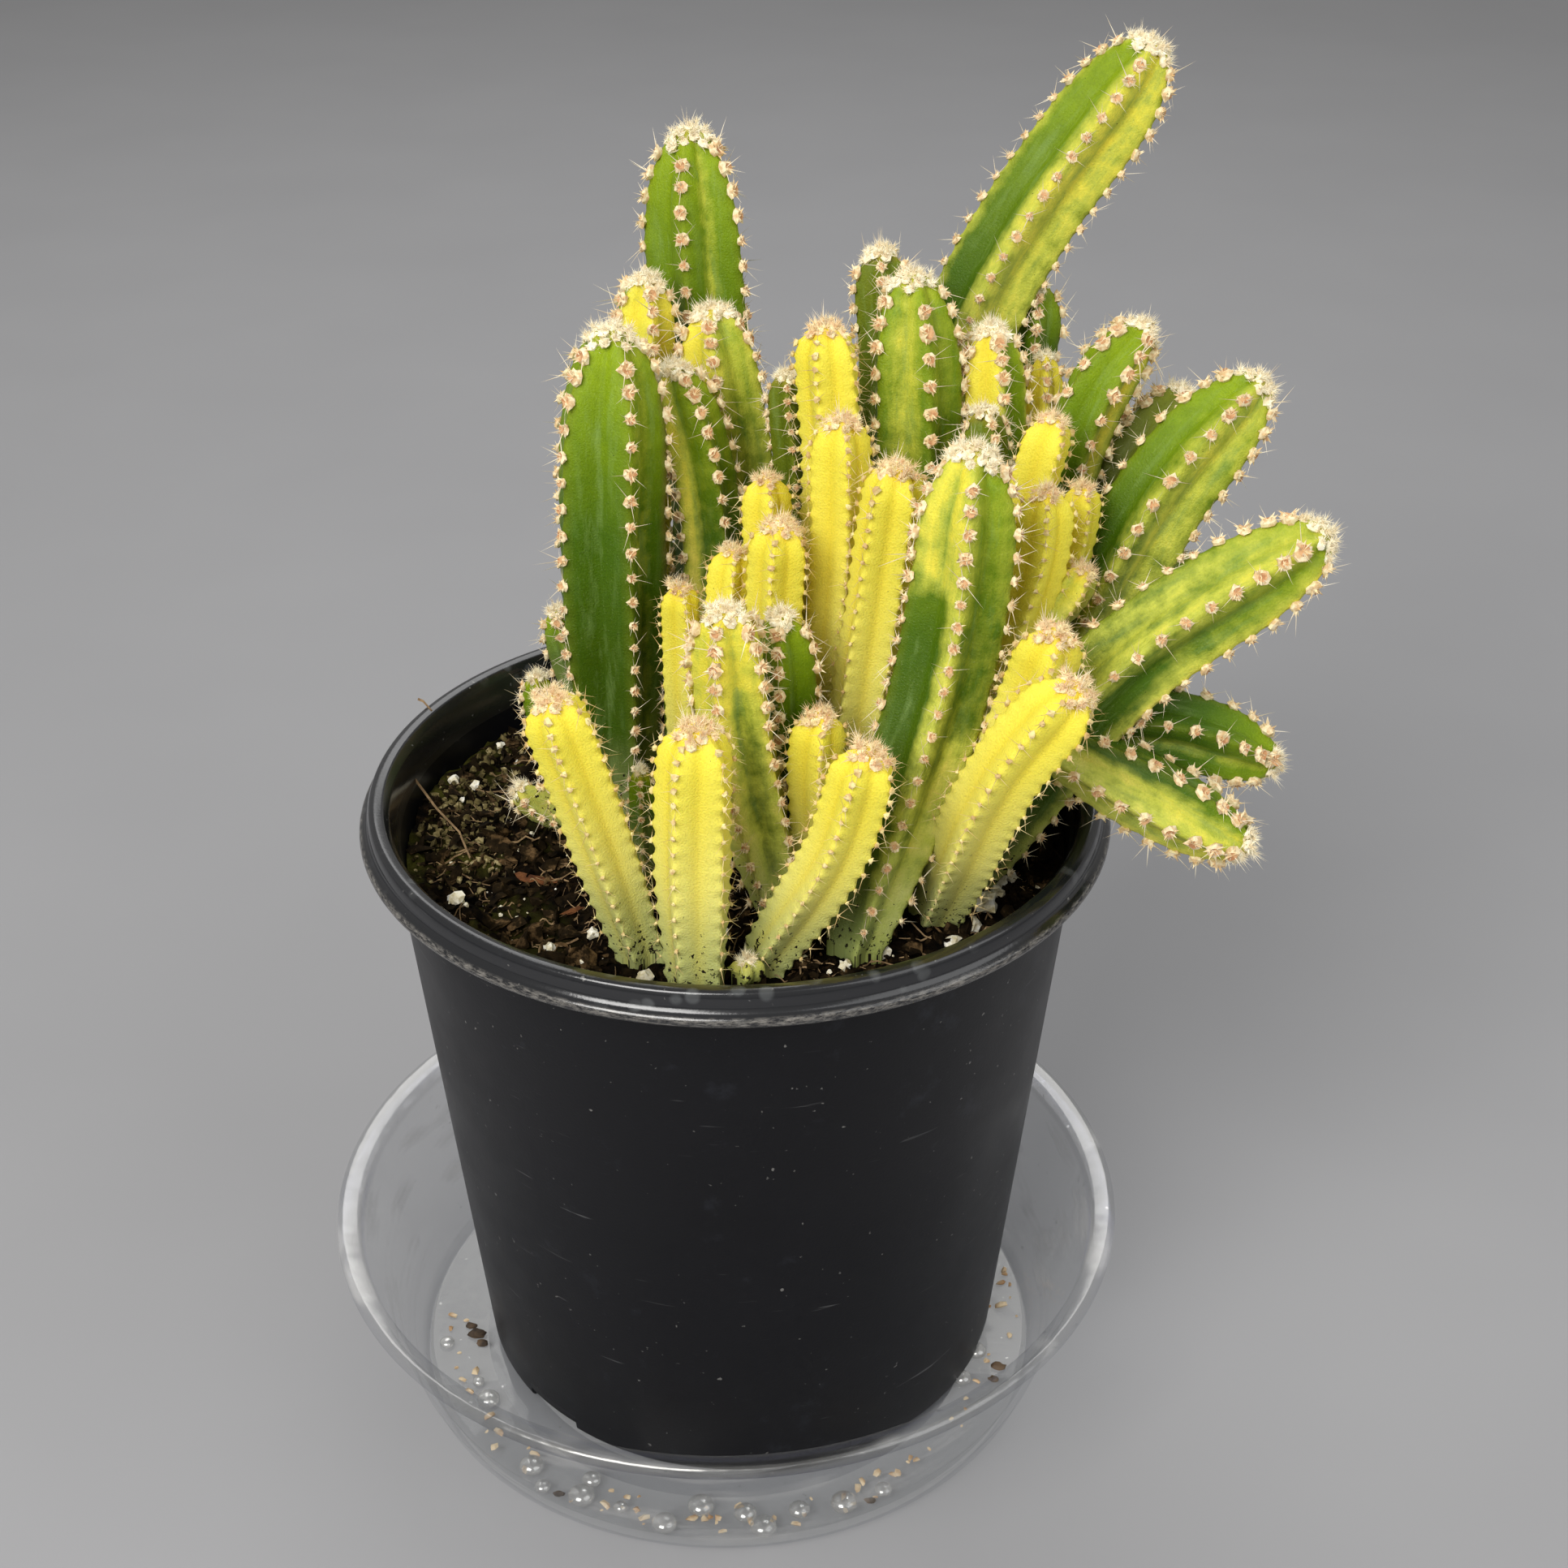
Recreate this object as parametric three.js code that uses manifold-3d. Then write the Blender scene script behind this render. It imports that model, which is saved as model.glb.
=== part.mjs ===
// A variegated fairytale cactus, a crowd of ribbed stems, growing in a round
// nursery pot that stands on a clear saucer. Millimetres, +Z up. The origin is
// where the pot's axis meets the surface that the saucer stands on.

import * as THREE from 'three';
import { mergeVertices } from 'three/addons/utils/BufferGeometryUtils.js';
import Module from 'manifold-3d';

const wasm = await Module();
wasm.setup();

// Saucer: a thin vinyl dish a little off the pot's axis
const SAUCER_X = -3;
const SAUCER_Y = -8;
const SAUCER_HEIGHT = 43;
const SAUCER_RIM_RADIUS = 92;
const SAUCER_BASE_RADIUS = 75.5;
const SAUCER_WALL = 1.4;
const SAUCER_FLOOR = 2;
const SAUCER_LIP_WIDTH = 4;
const SAUCER_SIDES = 36;

// Pot: a tapered tub with a turned-over rim and slots for drainage
const POT_SIDES = 36;
const POT_WALL = 1.7;
const POT_TOP = 149;
const POT_BAND_Z = 143;
const POT_NECK_Z = 140;
const POT_RIM_RADIUS = 82;
const POT_NECK_RADIUS = 75;
const POT_BASE_RADIUS = 61.5;
const POT_FLOOR = 5;
const POT_FLOOR_UNDERSIDE = 3.4;
const POT_FOOT_RING_RADIUS = 54.5;
const SLOT_COUNT = 3;
const SLOT_BEARING = 225;
const SLOT_WIDTH = 16;
const SLOT_HEIGHT = 3;
const SLOT_REACH = 9;

// Soil: it fills the pot to a little below the rim
const SOIL_TOP = 135;
const SOIL_GAP = 0.3;
const SOIL_MOUND = 1.2;
const HOLE_DEPTH = 9;
const HOLE_ROOM = 0.45;
const HOLE_SIDES = 6;

// Stems: pleated columns with a woolly crown and spines on their ribs
const FOOT_SHARE = 0.62;
const SWELL_SHARE = 0.45;
const SWELL_POWER = 0.8;
const DOME_HEIGHT = { green: 2.4, striped: 2.4, yellow: 1.1, olive: 1.6 };
const DOME_FULLNESS = 1.7;
const MOST_DOME = 0.4;
const DOME_STEPS = [0.55, 0.94];
const VALLEY_SHARE = 0.76;
const TOOTH = 0.06;
const TOOTH_PITCH = 14;
const MOST_TEETH_ROWS = 8;
const SPINE_LENGTH = 5.5;
const SPINE_RADIUS = 0.45;
const SPINE_ROOT = 1.8;
const SPINE_RISE = 0.45;
const CROWN_SPINE_RISE = 1.6;
const LEAST_SPINY_WIDTH = 8;

const FLESH = {
  green: 0x4f7d1c,
  striped: 0x9aa83a,
  yellow: 0xe9d23c,
  olive: 0x6b7030
};

// Each stem stands at foot on the soil, passes belly on its way and ends at
// tip. Width is across the ribs, and turn is the bearing of its first rib,
// from the front towards the right. A branch names the stem that bears it.
const STEMS = [
  { name: 'stem_green_left', width: 23, ribs: 5, turn: 25, flesh: 'green',
    foot: [-26, 12], belly: [-26, 6, 207], tip: [-24, 8, 250] },
  { name: 'stem_tall_rear_left', width: 22, ribs: 5, turn: -12, flesh: 'green',
    foot: [6, 59], belly: [-7, 61, 227], tip: [-10, 65, 274] },
  { name: 'stem_striped_rear_left', width: 14, ribs: 5, turn: 19, flesh: 'striped',
    foot: [-24, 42], belly: [-21, 43, 219], tip: [-19, 44, 248] },
  { name: 'stem_striped_behind_left', width: 18, ribs: 5, turn: -5, flesh: 'striped',
    foot: [8, 36], belly: [-1, 38, 214], tip: [-5, 39, 243] },
  { name: 'stem_striped_left', width: 15, ribs: 5, turn: 33, flesh: 'striped',
    foot: [-5, 22], belly: [-7, 22, 209], tip: [-13, 23, 236] },
  { name: 'stem_tallest', width: 21, ribs: 5, turn: -14, flesh: 'striped',
    foot: [34, 54], belly: [53, 56, 236], tip: [89, 62, 293] },
  { name: 'stem_green_centre', width: 19, ribs: 5, turn: 17, flesh: 'green',
    foot: [31, 22], belly: [38, 22, 216], tip: [37, 26, 255] },
  { name: 'stem_olive_rear', width: 13, ribs: 5, turn: 0, flesh: 'olive',
    foot: [22, 44], belly: [33, 42, 223], tip: [31, 44, 254] },
  { name: 'stem_yellow_tall_centre', width: 13, ribs: 5, turn: -21, flesh: 'yellow',
    foot: [13, 17], belly: [21, 14, 205], tip: [19, 14, 248] },
  { name: 'stem_yellow_centre', width: 12, ribs: 4, turn: 12, flesh: 'yellow',
    foot: [17, 2], belly: [22, -2, 203], tip: [22, -4, 235] },
  { name: 'stem_yellow_leaning', width: 13, ribs: 5, turn: 32, flesh: 'yellow',
    foot: [22, -12], belly: [30, -14, 202], tip: [33, -16, 230] },
  { name: 'stem_striped_front', width: 20, ribs: 5, turn: -3, flesh: 'striped',
    foot: [25, -45], belly: [43, -30, 197], tip: [47, -28, 239] },
  { name: 'stem_yellow_rear_right', width: 14, ribs: 5, turn: 15, flesh: 'striped',
    foot: [46, 30], belly: [55, 28, 214], tip: [54, 30, 242] },
  { name: 'stem_olive_slim', width: 10, ribs: 4, turn: 20, flesh: 'olive',
    foot: [41, 13], belly: [53, 14, 205], tip: [52, 14, 230] },
  { name: 'branch_olive_high', width: 12, ribs: 4, turn: 0, on: 'stem_tallest',
    foot: [50, 56, 205], belly: [65, 57, 227], tip: [66, 58, 242] },
  { name: 'stem_green_rear_right', width: 14, ribs: 5, turn: 12, flesh: 'green',
    foot: [56, 22], belly: [76, 28, 226], tip: [87, 32, 242] },
  { name: 'branch_yellow_bud', width: 8, ribs: 4, turn: 0, on: 'stem_green_rear_right',
    foot: [66, 27, 184], belly: [67, 37, 221], tip: [67, 40, 232] },
  { name: 'branch_dark_rear', width: 14, ribs: 5, turn: 0, on: 'stem_green_rear_right',
    foot: [59, 24, 158], belly: [87, 34, 211], tip: [98, 42, 223] },
  { name: 'stem_yellow_right', width: 11, ribs: 4, turn: 20, flesh: 'yellow',
    foot: [47, 5], belly: [63, 6, 220], tip: [66, 7, 231] },
  { name: 'stem_green_right', width: 20, ribs: 5, turn: -22, flesh: 'green',
    foot: [57, 6], belly: [91, 12, 213], tip: [110, 18, 235] },
  { name: 'branch_olive_right', width: 12, ribs: 4, turn: 0, on: 'stem_green_right',
    foot: [64, 10, 165], belly: [87, 14, 186], tip: [100, 18, 193] },
  { name: 'stem_low_right', width: 20, ribs: 5, turn: -23, flesh: 'green',
    foot: [50, -18], belly: [78, -20, 186], tip: [119, -16, 216] },
  { name: 'branch_green_low', width: 16, ribs: 5, turn: -31, on: 'stem_low_right',
    foot: [62, -17, 174], belly: [92, -17, 171], tip: [114, -17, 163] },
  { name: 'branch_striped_low', width: 16, ribs: 5, turn: 8, on: 'stem_low_right',
    foot: [64, -26, 174], belly: [86, -34, 165], tip: [105, -41, 157] },
  { name: 'stem_yellow_slim_right', width: 11, ribs: 4, turn: -3, flesh: 'yellow',
    foot: [40, -6], belly: [62, -12, 206], tip: [63, -12, 223] },
  { name: 'branch_yellow_pup', width: 9, ribs: 4, turn: 10, on: 'stem_yellow_slim_right',
    foot: [60, -11, 188], belly: [69, -10, 199], tip: [72, -10, 205] },
  { name: 'stem_yellow_far_right', width: 9, ribs: 4, turn: 15, flesh: 'yellow',
    foot: [48, -6], belly: [70, 2, 201], tip: [72, 2, 218] },
  { name: 'stem_yellow_front_right', width: 15, ribs: 5, turn: -28, flesh: 'yellow',
    foot: [43, -32], belly: [54, -52, 182], tip: [66, -57, 203] },
  { name: 'branch_yellow_fork', width: 13, ribs: 4, turn: 0, on: 'stem_yellow_front_right',
    foot: [46, -34, 150], belly: [60, -36, 191], tip: [63, -40, 206] },
  { name: 'stem_yellow_short_rear', width: 10, ribs: 4, turn: 10, flesh: 'yellow',
    foot: [4, 5], belly: [7, 4, 202], tip: [7, 4, 219] },
  { name: 'stem_yellow_broad', width: 12, ribs: 5, turn: -13, flesh: 'yellow',
    foot: [8, -10], belly: [9, -10, 198], tip: [10, -12, 216] },
  { name: 'stem_yellow_small_left', width: 9, ribs: 4, turn: 8, flesh: 'yellow',
    foot: [-3, -7], belly: [-1, -4, 195], tip: [0, -3, 206] },
  { name: 'stem_yellow_slim_left', width: 8, ribs: 4, turn: 20, flesh: 'yellow',
    foot: [-10, -2], belly: [-11, -4, 185], tip: [-11, -6, 199] },
  { name: 'stem_striped_middle', width: 15, ribs: 5, turn: -20, flesh: 'striped',
    foot: [10, -34], belly: [2, -34, 175], tip: [-1, -38, 210] },
  { name: 'stem_green_short', width: 12, ribs: 4, turn: -12, flesh: 'green',
    foot: [10, -20], belly: [11, -23, 186], tip: [10, -24, 202] },
  { name: 'stem_yellow_short', width: 11, ribs: 4, turn: 5, flesh: 'yellow',
    foot: [19, -27], belly: [17, -33, 171], tip: [18, -35, 185] },
  { name: 'stem_yellow_front', width: 13, ribs: 5, turn: -22, flesh: 'yellow',
    foot: [7, -49], belly: [21, -56, 166], tip: [27, -60, 191] },
  { name: 'stem_yellow_front_centre', width: 15, ribs: 5, turn: -27, flesh: 'yellow',
    foot: [-7, -58], belly: [-7, -57, 166], tip: [-6, -58, 195] },
  { name: 'stem_yellow_front_left', width: 13, ribs: 5, turn: -7, flesh: 'yellow',
    foot: [-19, -46], belly: [-26, -48, 166], tip: [-34, -52, 198] },
  { name: 'stem_green_pup', width: 7, ribs: 4, turn: 0, flesh: 'green',
    foot: [-12, 8], belly: [-12, 8, 161], tip: [-12, 8, 171] },
  { name: 'stem_side_pup', width: 8, ribs: 4, turn: 0, flesh: 'striped',
    foot: [-36, 3], belly: [-43, 2, 141], tip: [-48, 0, 147] },
  { name: 'stem_woolly_pup', width: 5, ribs: 4, turn: 0, flesh: 'green',
    foot: [-19, -24], belly: [-19, -25, 161], tip: [-19, -26, 167] },
  { name: 'stem_bud_front', width: 7, ribs: 4, turn: 0, flesh: 'green',
    foot: [2, -57], belly: [3, -57, 138], tip: [3, -57, 141] },
  { name: 'stem_green_side', width: 8, ribs: 4, turn: 0, flesh: 'green',
    foot: [-38, 11], belly: [-42, 8, 162], tip: [-43, 6, 172] },
  { name: 'stem_dark_centre', width: 9, ribs: 4, turn: 0, flesh: 'olive',
    foot: [18, 30], belly: [13, 24, 212], tip: [11, 24, 234] },
  { name: 'stem_rear_pup_left', width: 11, ribs: 4, turn: 30, flesh: 'green',
    foot: [-15, 61], belly: [-18, 64, 160], tip: [-21, 67, 180] },
  { name: 'stem_rear_pup_middle', width: 11, ribs: 4, turn: 10, flesh: 'yellow',
    foot: [20, 62], belly: [21, 65, 160], tip: [22, 67, 182] },
  { name: 'stem_rear_pup_right', width: 11, ribs: 4, turn: 20, flesh: 'striped',
    foot: [52, 40], belly: [57, 46, 160], tip: [62, 53, 182] },
  { name: 'stem_rear_pup_far_left', width: 10, ribs: 4, turn: 0, flesh: 'green',
    foot: [-35, 50], belly: [-39, 52, 150], tip: [-43, 54, 164] }
];

function paint(color, roughness = 0.6) {
  return new THREE.MeshStandardMaterial({ color, roughness, metalness: 0 });
}

// Booleans on closed meshes

function toSolid(geometry) {
  const bare = geometry.index ? geometry.clone() : geometry;
  bare.deleteAttribute('normal');
  bare.deleteAttribute('uv');
  const welded = mergeVertices(bare, 1e-4);
  return new wasm.Manifold(new wasm.Mesh({
    numProp: 3,
    vertProperties: new Float32Array(welded.attributes.position.array),
    triVerts: new Uint32Array(welded.index.array)
  }));
}

function toGeometry(solid) {
  const mesh = solid.getMesh();
  const geometry = new THREE.BufferGeometry();
  geometry.setAttribute('position', new THREE.BufferAttribute(mesh.vertProperties, 3));
  geometry.setIndex(new THREE.BufferAttribute(mesh.triVerts, 1));
  geometry.computeVertexNormals();
  return geometry;
}

function turned(points, sides) {
  const profile = points.map(([radius, height]) => new THREE.Vector2(radius, height));
  return new THREE.LatheGeometry(profile, sides).rotateX(Math.PI / 2);
}

// Stem form

function stemPath(stem) {
  const [footX, footY, footZ = SOIL_TOP + SOIL_MOUND] = stem.foot;
  const foot = new THREE.Vector3(footX, footY, footZ);
  return new THREE.CatmullRomCurve3([foot, new THREE.Vector3(...stem.belly), new THREE.Vector3(...stem.tip)]);
}

// Rows of the skin from foot to tip: how far along, how wide, and whether the
// ribs stand out there as a tooth or draw in as a notch
function stemRows(stem, length) {
  const radius = stem.width / 2;
  const kind = stem.flesh ?? STEMS.find((other) => other.name === stem.on).flesh;
  const dome = Math.min(MOST_DOME, DOME_HEIGHT[kind] * radius / length);
  const count = THREE.MathUtils.clamp(Math.round(length / TOOTH_PITCH), 2, MOST_TEETH_ROWS);
  const rows = [];
  for (let i = 0; i <= count; i++) {
    const at = i / count * (1 - dome);
    const swell = FOOT_SHARE + (1 - FOOT_SHARE) * Math.min(1, at / SWELL_SHARE) ** SWELL_POWER;
    const tooth = i === 0 ? 0 : TOOTH * (i % 2 ? 1 : -1);
    rows.push({ at, share: swell, tooth });
  }
  for (const step of DOME_STEPS) {
    rows.push({ at: 1 - dome * (1 - step), share: Math.sqrt(1 - step ** DOME_FULLNESS), tooth: 0 });
  }
  return rows;
}

function frameAt(path, at) {
  const up = path.getTangentAt(at).normalize();
  const back = new THREE.Vector3(0, 1, 0);
  const front = back.addScaledVector(up, -back.dot(up)).normalize().negate();
  const side = new THREE.Vector3().crossVectors(up, front);
  return { up, front, side };
}

function ribDirection(frame, degrees) {
  const angle = THREE.MathUtils.degToRad(degrees);
  return frame.front.clone().multiplyScalar(Math.cos(angle)).addScaledVector(frame.side, Math.sin(angle));
}

function stemSkin(stem, path, rows) {
  const level = (sink) => ({ at: 0, share: FOOT_SHARE, tooth: 0, sink });
  const all = stem.on ? rows : [level(HOLE_DEPTH), level(0), ...rows.slice(1)];
  const columns = 2 * stem.ribs;
  const skin = new THREE.CylinderGeometry(1, 1, 1, columns, all.length - 1);
  const spots = skin.attributes.position;
  for (let i = 0; i < spots.count; i++) {
    const row = all[Math.round((spots.getY(i) + 0.5) * (all.length - 1))];
    const reach = Math.hypot(spots.getX(i), spots.getZ(i)) > 0.5 ? 1 : 0;
    const turnOf = Math.atan2(spots.getX(i), spots.getZ(i)) / (2 * Math.PI) * columns;
    const column = (Math.round(turnOf) + columns) % columns;
    const width = column % 2 ? VALLEY_SHARE : 1 + row.tooth;
    const distance = stem.width / 2 * row.share * width * reach;
    const direction = ribDirection(frameAt(path, row.at), stem.turn + column * 360 / columns);
    const spot = path.getPointAt(row.at).addScaledVector(direction, distance);
    if ('sink' in row) spot.z = path.points[0].z - row.sink;
    spots.setXYZ(i, spot.x, spot.y, spot.z);
  }
  return skin;
}

// Spines

function distanceToStem(spot, samples) {
  return Math.min(...samples.map(({ center, radius }) => spot.distanceTo(center) - radius));
}

function sampleStem(stem) {
  const path = stemPath(stem);
  const rows = stemRows(stem, path.getLength());
  return rows.flatMap((row, i) => {
    const next = rows[Math.min(i + 1, rows.length - 1)];
    return [0, 0.5].map((part) => ({
      center: path.getPointAt(row.at + (next.at - row.at) * part),
      radius: stem.width / 2 * Math.max(row.share, next.share)
    }));
  });
}

const SAMPLES = new Map(STEMS.map((stem) => [stem.name, sampleStem(stem)]));
const nodeOf = (stem) => stem.on ?? stem.name;

// A spine is left out where a neighbour leaves it no room
function hasRoom(spot, stem) {
  return STEMS.every((other) => other.name === stem.name
    || distanceToStem(spot, SAMPLES.get(other.name)) > (nodeOf(other) === nodeOf(stem) ? 1 : SPINE_LENGTH));
}

function spineAt(root, direction) {
  const spine = new THREE.ConeGeometry(SPINE_RADIUS, SPINE_LENGTH + SPINE_ROOT, 3);
  spine.translate(0, (SPINE_LENGTH + SPINE_ROOT) / 2 - SPINE_ROOT, 0);
  const lean = new THREE.Quaternion().setFromUnitVectors(new THREE.Vector3(0, 1, 0), direction);
  return spine.applyQuaternion(lean).translate(root.x, root.y, root.z);
}

function stemSpines(stem, path, rows) {
  const spines = [];
  const place = (row, degrees, rise) => {
    const frame = frameAt(path, row.at);
    const out = ribDirection(frame, degrees);
    const root = path.getPointAt(row.at).addScaledVector(out, stem.width / 2 * row.share * (1 + row.tooth));
    const direction = out.addScaledVector(frame.up, rise).normalize();
    const point = root.clone().addScaledVector(direction, SPINE_LENGTH);
    if (stem.width >= LEAST_SPINY_WIDTH && point.z > SOIL_TOP + SPINE_LENGTH && hasRoom(point, stem)) {
      spines.push(toSolid(spineAt(root, direction)));
    }
  };
  rows.forEach((row, i) => {
    for (let rib = 0; rib < stem.ribs; rib++) {
      const bearing = stem.turn + rib * 360 / stem.ribs;
      const tooth = row.tooth > 0;
      if (tooth && (rib + (i - 1) / 2) % 2 === 0) place(row, bearing, SPINE_RISE);
      if (i === rows.length - 2 && rib % 2 === 0) place(row, bearing, CROWN_SPINE_RISE);
    }
  });
  return spines;
}

function stemSolid(stem) {
  const path = stemPath(stem);
  const rows = stemRows(stem, path.getLength());
  return wasm.Manifold.union([toSolid(stemSkin(stem, path, rows)), ...stemSpines(stem, path, rows)]);
}

// A stem with the branches that grow from it, in one piece without loose scraps
function stemMesh(stem) {
  const grown = STEMS.filter((other) => nodeOf(other) === stem.name).map(stemSolid);
  const bodies = wasm.Manifold.union(grown).decompose();
  const [largest] = bodies.sort((one, other) => other.volume() - one.volume());
  const mesh = new THREE.Mesh(toGeometry(largest), paint(FLESH[stem.flesh]));
  mesh.name = stem.name;
  return mesh;
}

// The pot's inner wall runs straight from its floor to its neck
function insidePot(height) {
  const share = (height - POT_FLOOR) / (POT_NECK_Z - POT_FLOOR);
  return THREE.MathUtils.lerp(POT_BASE_RADIUS, POT_NECK_RADIUS, share) - POT_WALL;
}

// Soil with a plain hole for each stem's foot

function soilMesh() {
  const inside = (height) => insidePot(height) - 1.5 * SOIL_GAP;
  const bottom = POT_FLOOR + SOIL_GAP;
  const heap = [inside(SOIL_TOP), 52, 26, 0].map((radius) => [radius, SOIL_TOP]);
  const shape = turned([[0, bottom], [inside(bottom), bottom], ...heap], POT_SIDES);
  const spots = shape.attributes.position;
  for (let i = 0; i < spots.count; i++) {
    const [x, y, z] = [spots.getX(i), spots.getY(i), spots.getZ(i)];
    const heave = Math.sin(x * 0.21) * Math.cos(y * 0.17) - 0.5;
    if (z > SOIL_TOP - 1) spots.setZ(i, z + SOIL_MOUND * heave);
  }
  const holes = STEMS.filter((stem) => !stem.on).map((stem) => {
    const radius = (stem.width / 2 * FOOT_SHARE + HOLE_ROOM) / Math.cos(Math.PI / HOLE_SIDES);
    const depth = 2 * HOLE_DEPTH;
    const hole = new THREE.CylinderGeometry(radius, radius, depth, HOLE_SIDES).rotateX(Math.PI / 2);
    const low = SOIL_TOP + SOIL_MOUND - HOLE_DEPTH - SOIL_GAP;
    return toSolid(hole.translate(stem.foot[0], stem.foot[1], low + depth / 2));
  });
  const soil = toSolid(shape).subtract(wasm.Manifold.union(holes));
  const mesh = new THREE.Mesh(toGeometry(soil), paint(0x2b1d14, 0.95));
  mesh.name = 'soil';
  return mesh;
}

function potMesh() {
  const profile = [
    [0, POT_FLOOR_UNDERSIDE], [POT_FOOT_RING_RADIUS - 1.5, POT_FLOOR_UNDERSIDE],
    [POT_FOOT_RING_RADIUS, SAUCER_FLOOR], [POT_BASE_RADIUS - 1, SAUCER_FLOOR],
    [POT_BASE_RADIUS, SAUCER_FLOOR + 1.5],
    [POT_NECK_RADIUS, POT_NECK_Z + 0.5], [POT_RIM_RADIUS - 0.6, POT_BAND_Z - 1.4],
    [POT_RIM_RADIUS, POT_BAND_Z], [POT_RIM_RADIUS - 1.6, POT_BAND_Z + 2.2],
    [POT_RIM_RADIUS - 2, POT_TOP - 1], [POT_RIM_RADIUS - 3.4, POT_TOP],
    [POT_RIM_RADIUS - 6.4, POT_TOP - 0.4], [POT_NECK_RADIUS - 0.4, POT_TOP - 3],
    [insidePot(POT_NECK_Z), POT_NECK_Z], [insidePot(POT_FLOOR), POT_FLOOR], [0, POT_FLOOR]
  ];
  const slots = Array.from({ length: SLOT_COUNT }, (_, i) => {
    const slot = new THREE.BoxGeometry(SLOT_REACH, SLOT_WIDTH, 2 * SLOT_HEIGHT);
    slot.translate(POT_BASE_RADIUS, 0, SAUCER_FLOOR);
    return toSolid(slot.rotateZ(THREE.MathUtils.degToRad(SLOT_BEARING + i * 360 / SLOT_COUNT)));
  });
  const pot = toSolid(turned(profile, POT_SIDES)).subtract(wasm.Manifold.union(slots));
  const mesh = new THREE.Mesh(toGeometry(pot), paint(0x1b1c1e, 0.45));
  mesh.name = 'pot';
  return mesh;
}

function saucerMesh() {
  const top = SAUCER_HEIGHT;
  const throat = SAUCER_RIM_RADIUS - SAUCER_LIP_WIDTH - 1;
  const insideFoot = SAUCER_BASE_RADIUS - SAUCER_WALL;
  const profile = [
    [0, 0], [SAUCER_BASE_RADIUS - 2, 0], [SAUCER_BASE_RADIUS, 2],
    [throat, top - 4.5], [SAUCER_RIM_RADIUS - 0.6, top - 3.4], [SAUCER_RIM_RADIUS, top - 2],
    [SAUCER_RIM_RADIUS - 0.6, top - 0.4], [SAUCER_RIM_RADIUS - 2, top], [throat - 0.4, top - 1],
    [throat - SAUCER_WALL, top - 5], [insideFoot, SAUCER_FLOOR + 1.4],
    [insideFoot - 1.8, SAUCER_FLOOR], [0, SAUCER_FLOOR]
  ];
  const mesh = new THREE.Mesh(turned(profile, SAUCER_SIDES), paint(0xd6dadb, 0.15));
  mesh.name = 'saucer';
  mesh.position.set(SAUCER_X, SAUCER_Y, 0);
  return mesh;
}

const group = new THREE.Group();
group.add(saucerMesh(), potMesh(), soilMesh());
for (const stem of STEMS.filter((one) => !one.on)) group.add(stemMesh(stem));

export default group;
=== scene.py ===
import bisect
import random
from collections import namedtuple
from math import cos, exp, hypot, log, pi, radians, sin, sqrt, tau

import bmesh
import bpy
from bmesh import ops
from mathutils import Matrix, Quaternion, Vector, geometry, noise


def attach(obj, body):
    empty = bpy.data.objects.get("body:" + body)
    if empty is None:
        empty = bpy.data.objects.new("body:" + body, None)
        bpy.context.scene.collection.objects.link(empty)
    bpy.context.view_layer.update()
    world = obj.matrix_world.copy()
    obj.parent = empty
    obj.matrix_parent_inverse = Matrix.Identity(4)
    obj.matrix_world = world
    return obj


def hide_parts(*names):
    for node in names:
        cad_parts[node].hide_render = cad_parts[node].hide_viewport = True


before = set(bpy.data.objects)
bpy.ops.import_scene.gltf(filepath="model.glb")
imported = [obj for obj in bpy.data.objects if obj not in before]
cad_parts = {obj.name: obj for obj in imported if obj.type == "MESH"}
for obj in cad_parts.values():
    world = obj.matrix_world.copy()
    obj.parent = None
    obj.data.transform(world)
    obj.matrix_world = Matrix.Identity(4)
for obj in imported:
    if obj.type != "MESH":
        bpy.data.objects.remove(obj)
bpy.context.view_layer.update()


# Room: a wide pale matt floor under large soft lamps, seen from the front and
# above, so that the pot's rim is a broad ellipse and its soil shows.

CAMERA_SPOT = (0.0106, -0.4583, 0.4201)
CAMERA_DIP = 30.7
CAMERA_LENS = 55.9
FLOOR_SIZE = 12.0

scene = bpy.context.scene
scene.view_settings.view_transform = "Standard"


def set_out(name, data):
    """A new object in the scene."""
    thing = bpy.data.objects.new(name, data)
    scene.collection.objects.link(thing)
    return thing


def mesh_of(bm, name):
    mesh = bpy.data.meshes.new(name)
    bm.to_mesh(mesh)
    bm.free()
    return mesh


def fill(socket, value):
    """Links another socket to this one, or gives it a plain value or a red, green and blue colour."""
    if isinstance(value, bpy.types.NodeSocket):
        socket.id_data.links.new(value, socket)
    else:
        socket.default_value = (*value, 1) if socket.type == "RGBA" else value


def finish(name, **sockets):
    """A material and its Principled shader, with the values that are the same all over it."""
    material = bpy.data.materials.new(name)
    material.use_nodes = True
    shader = material.node_tree.nodes["Principled BSDF"]
    for key, value in sockets.items():
        fill(shader.inputs[key.replace("_", " ")], value)
    return material, shader


def add_node(kind, inputs, **settings):
    """A node beside the sockets that feed it, with its settings and its plain values."""
    tree = next(value.id_data for value in inputs.values() if isinstance(value, bpy.types.NodeSocket))
    node = tree.nodes.new(kind)
    for key, value in settings.items():
        setattr(node, key, value)
    for key, value in inputs.items():
        fill(node.inputs[key], value)
    return node


def here(material):
    """The place on the object, in metres."""
    return material.node_tree.nodes.new("ShaderNodeTexCoord").outputs["Object"]


def noise_of(vector, scale, detail=3.0, roughness=0.55):
    values = {"Vector": vector, "Scale": scale, "Detail": detail, "Roughness": roughness}
    return add_node("ShaderNodeTexNoise", values).outputs["Fac"]


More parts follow.
